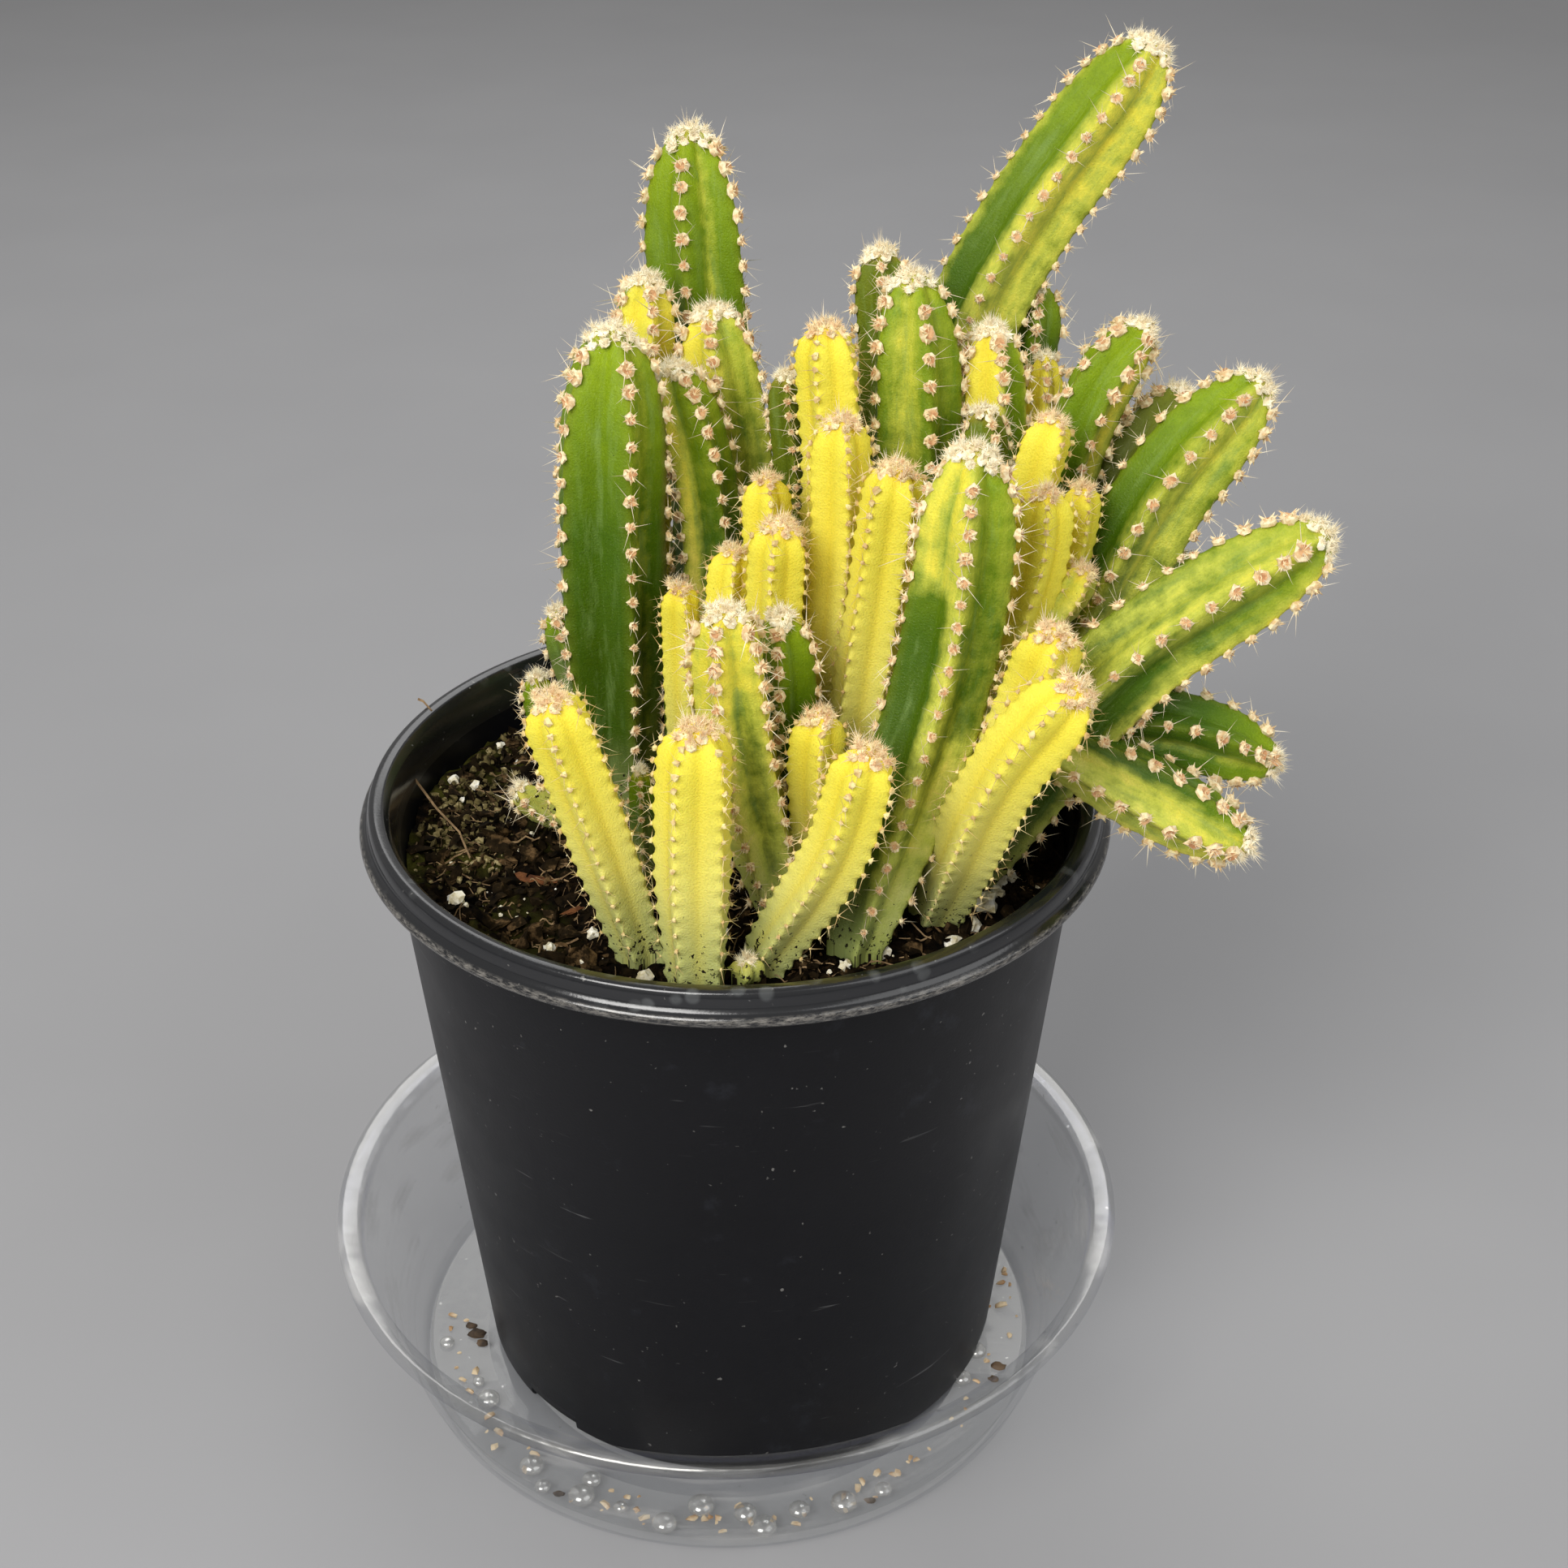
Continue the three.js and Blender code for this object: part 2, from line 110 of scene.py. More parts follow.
def tint(share, first, second):
    """The first colour turning into the second as share goes from 0 to 1."""
    return add_node("ShaderNodeMix", {0: share, 6: first, 7: second}, data_type="RGBA").outputs[2]


camera = set_out("camera", bpy.data.cameras.new("camera"))
camera.location = CAMERA_SPOT
camera.rotation_euler = (radians(90 - CAMERA_DIP), 0, 0)
camera.data.lens = CAMERA_LENS
scene.camera = camera

floor_material, floor_shader = finish("pale_floor", Roughness=0.9)
cloudy = noise_of(here(floor_material), 9.0, 2.0)
floor_colour = tint(cloudy, (0.31, 0.31, 0.32), (0.34, 0.34, 0.35))
fill(floor_shader.inputs["Base Color"], floor_colour)
floor_bm = bmesh.new()
ops.create_grid(floor_bm, x_segments=1, y_segments=1, size=FLOOR_SIZE / 2)
floor = set_out("floor", mesh_of(floor_bm, "floor"))
floor.data.materials.append(floor_material)

LAMPS = (
    ("key_lamp", (-0.45, -0.85, 0.95), 0.7, 15.0, (1.0, 0.985, 0.96)),
    ("fill_lamp", (0.9, -0.5, 0.9), 1.1, 5.0, (0.98, 0.99, 1.0)),
    ("back_lamp", (-0.1, 0.8, 1.1), 0.9, 5.0, (1.0, 1.0, 1.0)),
)
LAMP_TARGET = (0, 0, 0.12)
for name, spot, size, power, colour in LAMPS:
    lamp = set_out(name, bpy.data.lights.new(name, "AREA"))
    lamp.data.size = size
    lamp.data.energy = power
    lamp.data.color = colour
    lamp.location = spot
    lamp.rotation_mode = "QUATERNION"
    lamp.rotation_quaternion = (Vector(spot) - Vector(LAMP_TARGET)).to_track_quat("Z", "Y")

world = scene.world or bpy.data.worlds.new("soft_light")
scene.world = world
world.use_nodes = True
glow = world.node_tree.nodes["Background"].inputs
fill(glow["Color"], (1.0, 0.99, 0.97))
fill(glow["Strength"], 0.36)


# Saucer: a shallow round dish of clear vinyl, drawn in one sheet over a mould,
# with rings pressed in its floor and a flat lip turned down at its edge.

MM = 0.001
SAUCER_SPOT = (-3, -8)
SAUCER_STEPS = 144
SAUCER_OUTLINE = (
    (0, 0), (52, 0), (54, 0.7), (57, 0.7), (59, 0), (73.5, 0), (75.5, 2), (77.4, 8), (78.1, 8.6), (87, 38.5),
    (91.2, 39.6), (92, 41), (91.6, 42.4), (90.4, 43), (86.8, 42.2), (85.5, 38.2), (76.8, 9.4), (76, 8.6),
    (74.1, 3.4), (72.3, 2), (59.6, 2), (57.4, 2.6), (53.6, 2.6), (51.4, 2), (0, 2),
)
VINYL_COLOUR = (0.90, 0.89, 0.86)


def make_piece(bm, name, materials, stands_for=(), sharp=40):
    """A bmesh in millimetres becomes a smooth piece in metres that rides on the part."""
    ops.scale(bm, vec=(MM, MM, MM), verts=bm.verts)
    mesh = mesh_of(bm, name)
    for material in materials:
        mesh.materials.append(material)
    mesh.shade_smooth()
    mesh.set_sharp_from_angle(angle=radians(sharp))
    piece = set_out(name, mesh)
    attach(piece, "root")
    if stands_for:
        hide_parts(*stands_for)
    return piece


def spun(outline, steps, rounding, least_angle=24):
    """An outline of (radius, height) points turned about the upright axis, with its ring edges rounded."""
    bm = bmesh.new()
    corners = [bm.verts.new((radius, 0, height)) for radius, height in outline]
    sides = [bm.edges.new(pair) for pair in zip(corners, corners[1:])]
    if outline[0][0] > 0:
        sides.append(bm.edges.new((corners[-1], corners[0])))
    ops.spin(bm, geom=corners + sides, axis=(0, 0, 1), angle=tau, steps=steps, use_merge=True)
    ops.remove_doubles(bm, verts=bm.verts, dist=0.001)
    ops.recalc_face_normals(bm, faces=bm.faces)
    rings = [
        edge for edge in bm.edges
        if edge.is_manifold
        and edge.calc_face_angle() > radians(least_angle)
        and abs(edge.verts[0].co.z - edge.verts[1].co.z) < 0.001
    ]
    ops.bevel(
        bm, geom=rings, offset=rounding, segments=3, profile=0.5, affect="EDGES", material=-1,
        clamp_overlap=True,
    )
    return bm


def parts_of(vector):
    return add_node("ShaderNodeSeparateXYZ", {0: vector}).outputs


def scaled(vector, scale, rotation=(0, 0, 0)):
    return add_node("ShaderNodeMapping", {"Vector": vector, "Rotation": rotation, "Scale": scale}).outputs[0]


def stretch(value, low, high, low_out=0.0, high_out=1.0):
    """Value taken from low..high to low_out..high_out, and held at the ends."""
    values = {"Value": value, "From Min": low, "From Max": high, "To Min": low_out, "To Max": high_out}
    return add_node("ShaderNodeMapRange", values).outputs["Result"]


def figure(operation, first, second=0.0):
    return add_node("ShaderNodeMath", {0: first, 1: second}, operation=operation).outputs[0]


def plus(first, second):
    return figure("ADD", first, second)


def times(first, second):
    return figure("MULTIPLY", first, second)


def relief(shader, height, distance, strength=1.0):
    bump = add_node("ShaderNodeBump", {"Height": height, "Distance": distance, "Strength": strength})
    fill(shader.inputs["Normal"], bump.outputs["Normal"])


def clear_finish(name, roughness, body, edge):
    """See-through plastic or water: a mirror that reflects little square on, more at grazing edges."""
    material, shader = finish(name, Base_Color=VINYL_COLOUR, Metallic=1.0, Roughness=roughness)
    nodes = material.node_tree.nodes
    facing = nodes.new("ShaderNodeLayerWeight").outputs["Facing"]
    share = stretch(figure("POWER", facing, 3.0), 0.0, 1.0, body, edge)
    clear = nodes.new("ShaderNodeBsdfTransparent")
    fill(clear.inputs["Color"], (0.955, 0.96, 0.965))
    mixing = add_node("ShaderNodeMixShader", {0: share, 1: clear.outputs[0], 2: shader.outputs[0]})
    fill(nodes["Material Output"].inputs["Surface"], mixing.outputs[0])
    return material, share, mixing, shader


clear_vinyl, share, mixing, mirror = clear_finish("clear_vinyl", 0.09, 0.03, 0.14)
place = here(clear_vinyl)
east, north, level = parts_of(place)
on_lip = stretch(level, 0.0385, 0.0395)
lip = stretch(on_lip, 0.0, 1.0, 0.0, 0.10)
bead = stretch(level, 0.0424, 0.0429, 0.0, 0.06)
specks = stretch(noise_of(place, 420.0, 4.0), 0.68, 0.74, 0.0, 0.25)
# Painted sheen: soft pale streaks round the wall, where the mirror turns partly matt and shows more
# strongly, stand in for reflected highlights.
bearing = figure("ARCTAN2", east, times(north, -1.0))
round_the_wall = {0: times(bearing, 4.0), 1: times(level, 190.0), 2: 0.6}
painted_sheen_place = add_node("ShaderNodeCombineXYZ", round_the_wall).outputs[0]
sheen = stretch(noise_of(painted_sheen_place, 1.0, 2.0, 0.4), 0.56, 0.68)
sheen = times(sheen, stretch(level, 0.002, 0.006))
fill(mirror.inputs["Metallic"], stretch(sheen, 0.0, 1.0, 1.0, 0.35))
fill(mirror.inputs["Roughness"], stretch(on_lip, 0.0, 1.0, 0.09, 0.24))
for added in (lip, bead, specks, stretch(sheen, 0.0, 1.0, 0.0, 0.16)):
    share = plus(share, added)
fill(mixing.inputs[0], share)
# Painted reflection: a blue line tinted into the mirror's colour along the lower edge of the lip.
painted_blue_reflection = times(on_lip, stretch(level, 0.0413, 0.0405, 0.0, 0.6))
fill(mirror.inputs["Base Color"], tint(painted_blue_reflection, VINYL_COLOUR, (0.42, 0.45, 0.72)))
drawn_lines = noise_of(scaled(place, (70, 70, 5)), 1.0, 2.0)
relief(mirror, drawn_lines, 0.0015, 0.5)
saucer = spun(SAUCER_OUTLINE, SAUCER_STEPS, 0.45)
ops.translate(saucer, vec=(*SAUCER_SPOT, 0), verts=saucer.verts)
make_piece(saucer, "clear_saucer", [clear_vinyl], ["saucer"])


# Water and dirt in the saucer: round drops that stand on its floor near the
# front, with amber sand grains and crumbs of peat washed out of the pot.

SAUCER_FLOOR = 2.0
GRAIN_COUNT = 70
DROPS = (
    (-59, -39, 2.6), (-47, -60, 2.8), (-35, -69, 3.0), (-33, -64, 2.2), (-16, -77, 2.8), (-8, -72, 3.0),
    (2, -74, 2.6), (6, -78, 3.0), (14, -73, 2.4), (24, -71, 3.0), (57, -23, 2.4), (53, -32, 2.2),
    (-44, -66, 1.8), (-26, -72, 1.6), (-62, -33, 1.4), (33, -67, 2.0), (-71, -20, 1.8), (60, 20, 2.3),
    (-20, 61, 2.2), (12, 58, 2.5), (34, 50, 1.9), (-48, 44, 2.1),
)
draw = random.Random(11)


def copy_into(bm, prototype, matrix):
    """Adds a placed copy of a small mesh to a bmesh."""
    copied = prototype.copy()
    copied.transform(matrix)
    bm.from_mesh(copied)
    bpy.data.meshes.remove(copied)


def lump(seed, roughness, flat=1.0, subdivisions=2):
    """A small rough grain of radius 1."""
    bm = bmesh.new()
    ops.create_icosphere(bm, subdivisions=subdivisions, radius=1)
    for corner in bm.verts:
        corner.co *= 1 + roughness * noise.noise(corner.co * 1.6 + Vector((seed * 7.3, 0, 0)))
        corner.co.z *= flat
    return mesh_of(bm, "grain")


def scale_of(share, stops):
    """A colour ramp from (place, colour) stops."""
    node = add_node("ShaderNodeValToRGB", {"Fac": share})
    elements = node.color_ramp.elements
    for element, (place, colour) in zip(elements, (stops[0], stops[-1])):
        element.position = place
        element.color = (*colour, 1)
    for place, colour in stops[1:-1]:
        elements.new(place).color = (*colour, 1)
    return node.outputs["Color"]


water, _, _, water_shader = clear_finish("water", 0.2, 0.4, 1.0)
# Painted highlight: a quarter of each drop is matt pale vinyl colour, so that the drops look bright and
# whitish.
fill(water_shader.inputs["Metallic"], 0.75)
drop_shape = lump(1, 0.0, 0.62, 3)
drops = bmesh.new()
for x, y, radius in DROPS:
    placing = Matrix.Translation((x, y, SAUCER_FLOOR + 0.3 * radius))
    copy_into(drops, drop_shape, placing @ Matrix.Scale(radius, 4))
ops.recalc_face_normals(drops, faces=drops.faces)
make_piece(drops, "water_drops", [water])

amber_sand, amber_shader = finish("amber_sand", Roughness=0.5)
sand_tone = noise_of(here(amber_sand), 300.0)
sand_colour = scale_of(sand_tone, ((0.35, (0.42, 0.22, 0.08)), (0.6, (0.78, 0.62, 0.40))))
fill(amber_shader.inputs["Base Color"], sand_colour)
grain_shapes = [lump(seed, 0.8, 0.6, 1) for seed in range(5)]
grains = bmesh.new()
for _ in range(GRAIN_COUNT):
    bearing = draw.uniform(-pi, 0.2)
    reach = draw.uniform(63.5, 71)
    size = draw.uniform(0.3, 0.95)
    spot = (SAUCER_SPOT[0] + reach * cos(bearing), SAUCER_SPOT[1] + reach * sin(bearing))
    placing = Matrix.Translation((*spot, SAUCER_FLOOR + 0.4 * size))
    placing @= Matrix.Rotation(draw.uniform(0, tau), 4, "Z")
    copy_into(grains, draw.choice(grain_shapes), placing @ Matrix.Diagonal((1.6 * size, size, size, 1)))
make_piece(grains, "washed_out_grains", [amber_sand])

washed_peat, peat_mud_shader = finish("washed_peat", Roughness=0.7)
mud_tone = noise_of(here(washed_peat), 260.0, 4.0)
mud_colour = scale_of(mud_tone, ((0.4, (0.03, 0.018, 0.010)), (0.6, (0.12, 0.075, 0.04))))
fill(peat_mud_shader.inputs["Base Color"], mud_colour)
LITTER = (
    (-64, -17, 1.5), (-62.5, -20, 1.0), (-66, -14, 0.9), (62, -28, 1.3), (60.5, -32, 0.9), (-40, -68, 0.8),
    (30, -70, 0.8),
)
litter = bmesh.new()
for x, y, size in LITTER:
    placing = Matrix.Translation((x, y, SAUCER_FLOOR + 0.35 * size))
    copy_into(litter, lump(x, 0.6, 0.6, 2), placing @ Matrix.Diagonal((1.5 * size, size, size, 1)))
make_piece(litter, "washed_out_peat", [washed_peat])


# Pot: a black nursery tub, injection moulded, tapered, with drain slots round
# its foot and a rolled rim whose edge is scuffed from handling and stacking.

POT_OUTLINE = (
    (0, 3.4), (53, 3.4), (54.5, 2), (60.6, 2), (61.5, 3.2), (61.9, 7.2), (62.4, 12.3), (75, 138.8),
    (75.3, 140.4), (80.6, 141.2), (81.8, 142.2), (82, 143), (81.6, 143.9), (80.5, 144.5), (79.9, 145.4),
    (79.9, 147.4), (79.4, 148.6), (78.2, 149), (76.6, 148.7), (75.2, 147), (74.4, 144), (73.3, 140),
    (59.8, 5), (0, 5),
)
POT_STEPS = 144
POT_FOOT_RADIUS = 61.5
RIM_FOOT = 140.5
SLOT_COUNT = 3
SLOT_BEARING = 225
SLOT_SIZE = (9, 16, 6)


def moulded_plastic(name, gloss):
    """Black plastic with haze, dust and fine scratches, and a scuffed edge round the rim."""
    material, shader = finish(name, Specular_IOR_Level=gloss)
    place = here(material)
    east, north, height = parts_of(place)
    reach = plus(times(east, east), times(north, north))
    outside = stretch(figure("SQRT", reach), 0.0792, 0.0802)
    smudge = noise_of(place, 28.0, 4.0, 0.6)
    dust = stretch(noise_of(place, 520.0, 2.0), 0.72, 0.77, 0.0, 0.5)
    scratch_place = scaled(place, (60, 60, 900), (0.5, 0.9, 0.3))
    scratch = stretch(noise_of(scratch_place, 1.0, 2.0), 0.70, 0.76, 0.0, 0.3)
    scratch = times(scratch, stretch(smudge, 0.45, 0.6))
    on_rim = stretch(height, 0.1405, 0.1435)
    on_edge = times(stretch(height, 0.1421, 0.1425), stretch(height, 0.1442, 0.1438))
    scuff = stretch(noise_of(scaled(place, (500, 500, 2400)), 1.0, 6.0, 0.75), 0.42, 0.66, 0.0, 0.7)
    scuff = times(times(on_edge, outside), scuff)
    cells = add_node("ShaderNodeTexVoronoi", {"Vector": place, "Scale": 190.0}).outputs["Distance"]
    stains = times(stretch(cells, 0.34, 0.22, 0.0, 0.16), stretch(smudge, 0.48, 0.6))
    haze = stretch(noise_of(place, 90.0, 5.0, 0.7), 0.60, 0.72, 0.0, 0.35)
    plastic = tint(smudge, (0.002, 0.002, 0.003), (0.005, 0.005, 0.007))
    for share, colour in (
        (times(on_rim, 0.5), (0.010, 0.011, 0.013)),
        (haze, (0.028, 0.031, 0.040)),
        (dust, (0.32, 0.31, 0.29)),
        (scratch, (0.26, 0.26, 0.26)),
        (times(on_rim, stains), (0.35, 0.37, 0.37)),
        (scuff, (0.30, 0.28, 0.25)),
    ):
        plastic = tint(share, plastic, colour)
    fill(shader.inputs["Base Color"], plastic)
    rough = figure("SUBTRACT", stretch(smudge, 0.3, 0.7, 0.34, 0.46), times(on_rim, 0.22))
    fill(shader.inputs["Roughness"], rough)
    relief(shader, noise_of(place, 1500.0, 2.0), 0.00003, 0.6)
    return material


black_plastic = moulded_plastic("black_plastic", 0.25)
polished_rim = moulded_plastic("polished_rim", 0.8)
pot_piece = make_piece(
    spun(POT_OUTLINE, POT_STEPS, 0.35), "nursery_pot", [black_plastic, polished_rim], ["pot"],
)
slots = bmesh.new()
for index in range(SLOT_COUNT):
    turning = Matrix.Rotation(radians(SLOT_BEARING + index * 360 / SLOT_COUNT), 4, "Z")
    placing = turning @ Matrix.Translation((POT_FOOT_RADIUS, 0, SAUCER_FLOOR))
    ops.create_cube(slots, size=1, matrix=placing @ Matrix.Diagonal((*SLOT_SIZE, 1)))
ops.scale(slots, vec=(MM, MM, MM), verts=slots.verts)
cutter = set_out("slot_cutter", mesh_of(slots, "slot_cutter"))
cutting = pot_piece.modifiers.new("drain_slots", "BOOLEAN")
cutting.operation = "DIFFERENCE"
cutting.object = cutter
cutting.solver = "EXACT"
bpy.context.view_layer.update()
cut_pot = bpy.data.meshes.new_from_object(pot_piece.evaluated_get(bpy.context.evaluated_depsgraph_get()))
pot_piece.modifiers.clear()
for face in cut_pot.polygons:
    face.material_index = 1 if face.center.z > RIM_FOOT * MM else 0
pot_piece.data = cut_pot
bpy.data.objects.remove(cutter)


# Stems: the plants themselves, a crowd of ribbed columns. Each stands at its
# foot in the soil, bends past its belly and ends at its tip; a branch grows on
# the stem that it names last. Widths are across the ribs, turns are bearings of
# the first rib from the front towards the right.

Stem = namedtuple("Stem", "name width ribs turn flesh foot belly tip on", defaults=[None])
STEMS = [Stem(*row) for row in (
    ("stem_green_left", 23, 5, 25, "green", (-26, 12), (-26, 6, 207), (-24, 8, 250)),
    ("stem_tall_rear_left", 22, 5, -12, "green", (6, 59), (-7, 61, 227), (-10, 65, 274)),
    ("stem_striped_rear_left", 14, 5, 19, "striped", (-24, 42), (-21, 43, 219), (-19, 44, 248)),
    ("stem_striped_behind_left", 18, 5, -5, "striped", (8, 36), (-1, 38, 214), (-5, 39, 243)),
    ("stem_striped_left", 15, 5, 33, "striped", (-5, 22), (-7, 22, 209), (-13, 23, 236)),
    ("stem_tallest", 21, 5, -14, "striped", (34, 54), (53, 56, 236), (89, 62, 293)),
    ("stem_green_centre", 19, 5, 17, "green", (31, 22), (38, 22, 216), (37, 26, 255)),
    ("stem_olive_rear", 13, 5, 0, "olive", (22, 44), (33, 42, 223), (31, 44, 254)),
    ("stem_yellow_tall_centre", 13, 5, -21, "yellow", (13, 17), (21, 14, 205), (19, 14, 248)),
    ("stem_yellow_centre", 12, 4, 12, "yellow", (17, 2), (22, -2, 203), (22, -4, 235)),
    ("stem_yellow_leaning", 13, 5, 32, "yellow", (22, -12), (30, -14, 202), (33, -16, 230)),
    ("stem_striped_front", 20, 5, -3, "striped", (25, -45), (43, -30, 197), (47, -28, 239)),
    ("stem_yellow_rear_right", 14, 5, 15, "striped", (46, 30), (55, 28, 214), (54, 30, 242)),
    ("stem_olive_slim", 10, 4, 20, "olive", (41, 13), (53, 14, 205), (52, 14, 230)),
    ("branch_olive_high", 12, 4, 0, "striped", (50, 56, 205), (65, 57, 227), (66, 58, 242), "stem_tallest"),
    ("stem_green_rear_right", 14, 5, 12, "green", (56, 22), (76, 28, 226), (87, 32, 242)),
    ("branch_yellow_bud", 8, 4, 0, "green", (66, 27, 184), (67, 37, 221), (67, 40, 232),
     "stem_green_rear_right"),
    ("branch_dark_rear", 14, 5, 0, "green", (59, 24, 158), (87, 34, 211), (98, 42, 223),
     "stem_green_rear_right"),
    ("stem_yellow_right", 11, 4, 20, "yellow", (47, 5), (63, 6, 220), (66, 7, 231)),
    ("stem_green_right", 20, 5, -22, "green", (57, 6), (91, 12, 213), (110, 18, 235)),
    ("branch_olive_right", 12, 4, 0, "green", (64, 10, 165), (87, 14, 186), (100, 18, 193),
     "stem_green_right"),
    ("stem_low_right", 20, 5, -23, "green", (50, -18), (78, -20, 186), (119, -16, 216)),
    ("branch_green_low", 16, 5, -31, "green", (62, -17, 174), (92, -17, 171), (114, -17, 163),
     "stem_low_right"),
    ("branch_striped_low", 16, 5, 8, "green", (64, -26, 174), (86, -34, 165), (105, -41, 157),
     "stem_low_right"),
    ("stem_yellow_slim_right", 11, 4, -3, "yellow", (40, -6), (62, -12, 206), (63, -12, 223)),
    ("branch_yellow_pup", 9, 4, 10, "yellow", (60, -11, 188), (69, -10, 199), (72, -10, 205),
     "stem_yellow_slim_right"),
    ("stem_yellow_far_right", 9, 4, 15, "yellow", (48, -6), (70, 2, 201), (72, 2, 218)),
    ("stem_yellow_front_right", 15, 5, -28, "yellow", (43, -32), (54, -52, 182), (66, -57, 203)),
    ("branch_yellow_fork", 13, 4, 0, "yellow", (46, -34, 150), (60, -36, 191), (63, -40, 206),
     "stem_yellow_front_right"),
    ("stem_yellow_short_rear", 10, 4, 10, "yellow", (4, 5), (7, 4, 202), (7, 4, 219)),
    ("stem_yellow_broad", 12, 5, -13, "yellow", (8, -10), (9, -10, 198), (10, -12, 216)),
    ("stem_yellow_small_left", 9, 4, 8, "yellow", (-3, -7), (-1, -4, 195), (0, -3, 206)),
    ("stem_yellow_slim_left", 8, 4, 20, "yellow", (-10, -2), (-11, -4, 185), (-11, -6, 199)),
    ("stem_striped_middle", 15, 5, -20, "striped", (10, -34), (2, -34, 175), (-1, -38, 210)),
    ("stem_green_short", 12, 4, -12, "green", (10, -20), (11, -23, 186), (10, -24, 202)),
    ("stem_yellow_short", 11, 4, 5, "yellow", (19, -27), (17, -33, 171), (18, -35, 185)),
    ("stem_yellow_front", 13, 5, -22, "yellow", (7, -49), (21, -56, 166), (27, -60, 191)),
    ("stem_yellow_front_centre", 15, 5, -27, "yellow", (-7, -58), (-7, -57, 166), (-6, -58, 195)),
    ("stem_yellow_front_left", 13, 5, -7, "yellow", (-19, -46), (-26, -48, 166), (-34, -52, 198)),
    ("stem_green_pup", 7, 4, 0, "green", (-12, 8), (-12, 8, 161), (-12, 8, 171)),
    ("stem_side_pup", 8, 4, 0, "striped", (-36, 3), (-43, 2, 141), (-48, 0, 147)),
    ("stem_woolly_pup", 5, 4, 0, "green", (-19, -24), (-19, -25, 161), (-19, -26, 167)),
    ("stem_bud_front", 7, 4, 0, "green", (2, -57), (3, -57, 138), (3, -57, 141)),
    ("stem_green_side", 8, 4, 0, "green", (-38, 11), (-42, 8, 162), (-43, 6, 172)),
    ("stem_dark_centre", 9, 4, 0, "olive", (18, 30), (13, 24, 212), (11, 24, 234)),
    ("stem_rear_pup_left", 11, 4, 30, "green", (-15, 61), (-18, 64, 160), (-21, 67, 180)),
    ("stem_rear_pup_middle", 11, 4, 10, "yellow", (20, 62), (21, 65, 160), (22, 67, 182)),
    ("stem_rear_pup_right", 11, 4, 20, "striped", (52, 40), (57, 46, 160), (62, 53, 182)),
    ("stem_rear_pup_far_left", 10, 4, 0, "green", (-35, 50), (-39, 52, 150), (-43, 54, 164)),
)]
# How green the flesh is: 0 is yellow, 1 green, 2 a purple brown blush. Each
# patch is its middle's bearing, its half width and how green it is, and then,
# unless it runs the whole way, where along the stem it starts and ends.
GREENNESS = {
    "stem_green_left": (1.0, (61, 34, 0.85), (97, 10, 1.7, 0.3, 0.9), (-83, 34, 1.15)),
    "stem_tall_rear_left": (1.0, (24, 8, 0.6, 0.5, 1)),
    "stem_striped_rear_left": (0.22, (-89, 34, 1.0)),
    "stem_striped_behind_left": (0.2, (31, 34, 0.68), (103, 34, 1.0)),
    "stem_striped_left": (0.9, (-25, 12, 0.25)),
    "stem_tallest": (
        0.6, (-50, 28, 1.05), (-14, 16, 0.4), (22, 28, 0.48, 0, 0.75), (22, 28, 0.40, 0.75, 1),
        (94, 30, 0.8), (166, 30, 0.35),
    ),
    "stem_green_centre": (0.95, (-19, 22, 0.58, 0.3, 1), (53, 26, 0.85)),
    "stem_striped_front": (
        0.8, (-39, 32, 1.1, 0, 0.75), (-39, 32, 0.2, 0.75, 1), (-39, 6, 0.7, 0.75, 1),
        (-3, 16, 0.48, 0.1, 1), (33, 26, 0.88, 0.35, 1), (50, 22, 0.4, 0, 0.45),
    ),
    "stem_yellow_rear_right": (0.1, (51, 34, 1.0)),
    "branch_olive_high": (1.2,),
    "stem_green_rear_right": (1.0, (48, 28, 0.35)),
    "branch_yellow_bud": (0.1,),
    "branch_dark_rear": (1.6,),
    "stem_green_right": (1.0, (-58, 30, 0.95), (-22, 14, 0.65), (14, 28, 0.53), (50, 12, 0.7)),
    "branch_olive_right": (1.3,),
    "stem_low_right": (
        1.0, (-59, 34, 0.64), (13, 30, 1.0, 0, 0.6), (13, 30, 0.84, 0.6, 1), (-23, 10, 0.45),
        (49, 12, 0.4),
    ),
    "branch_green_low": (1.05, (5, 12, 0.7)),
    "branch_striped_low": (
        0.9, (-28, 30, 0.48), (-60, 14, 1.0), (8, 14, 0.5), (44, 30, 0.5), (80, 12, 0.3),
    ),
    "branch_yellow_pup": (0.35,),
    "stem_striped_middle": (0.3, (22, 22, 0.7, 0.15, 0.75)),
    "stem_side_pup": (0.4,),
    "stem_bud_front": (0.5,),
    "stem_rear_pup_middle": (0.1, (190, 30, 0.9)),
    "stem_rear_pup_right": (0.9, (150, 34, 0.2)),
}
PLAIN_GREENNESS = {"green": 1.0, "striped": 0.6, "yellow": 0.0, "olive": 1.15}
# How each kind grows: the pitch of its areoles and the height of its teeth in
# millimetres, its width at the foot and belly, how far its valleys are filled,
# how long its rounded tip is in half widths, and how full that tip is.
Habit = namedtuple("Habit", "pitch tooth foot belly filled dome fullness")
HABITS = {
    "green": Habit(5.5, 0.5, 0.62, 1.06, 0.80, 2.3, 2.0),
    "striped": Habit(4.9, 0.55, 0.62, 1.05, 0.80, 2.0, 2.1),
    "yellow": Habit(3.8, 0.8, 0.80, 1.03, 0.88, 1.15, 1.9),
    "olive": Habit(4.8, 0.5, 0.70, 1.04, 0.82, 1.6, 1.8),
}
SOIL_TOP = 135
SOIL_MOUND = 1.2
BELLY_PLACE = 0.5
MOST_DOME = 0.45
FOOT_SINK = 6
COLUMN_PLACES = (0, 0.1, 0.24, 0.48, 0.78, 1, 1.22, 1.52, 1.76, 1.9)
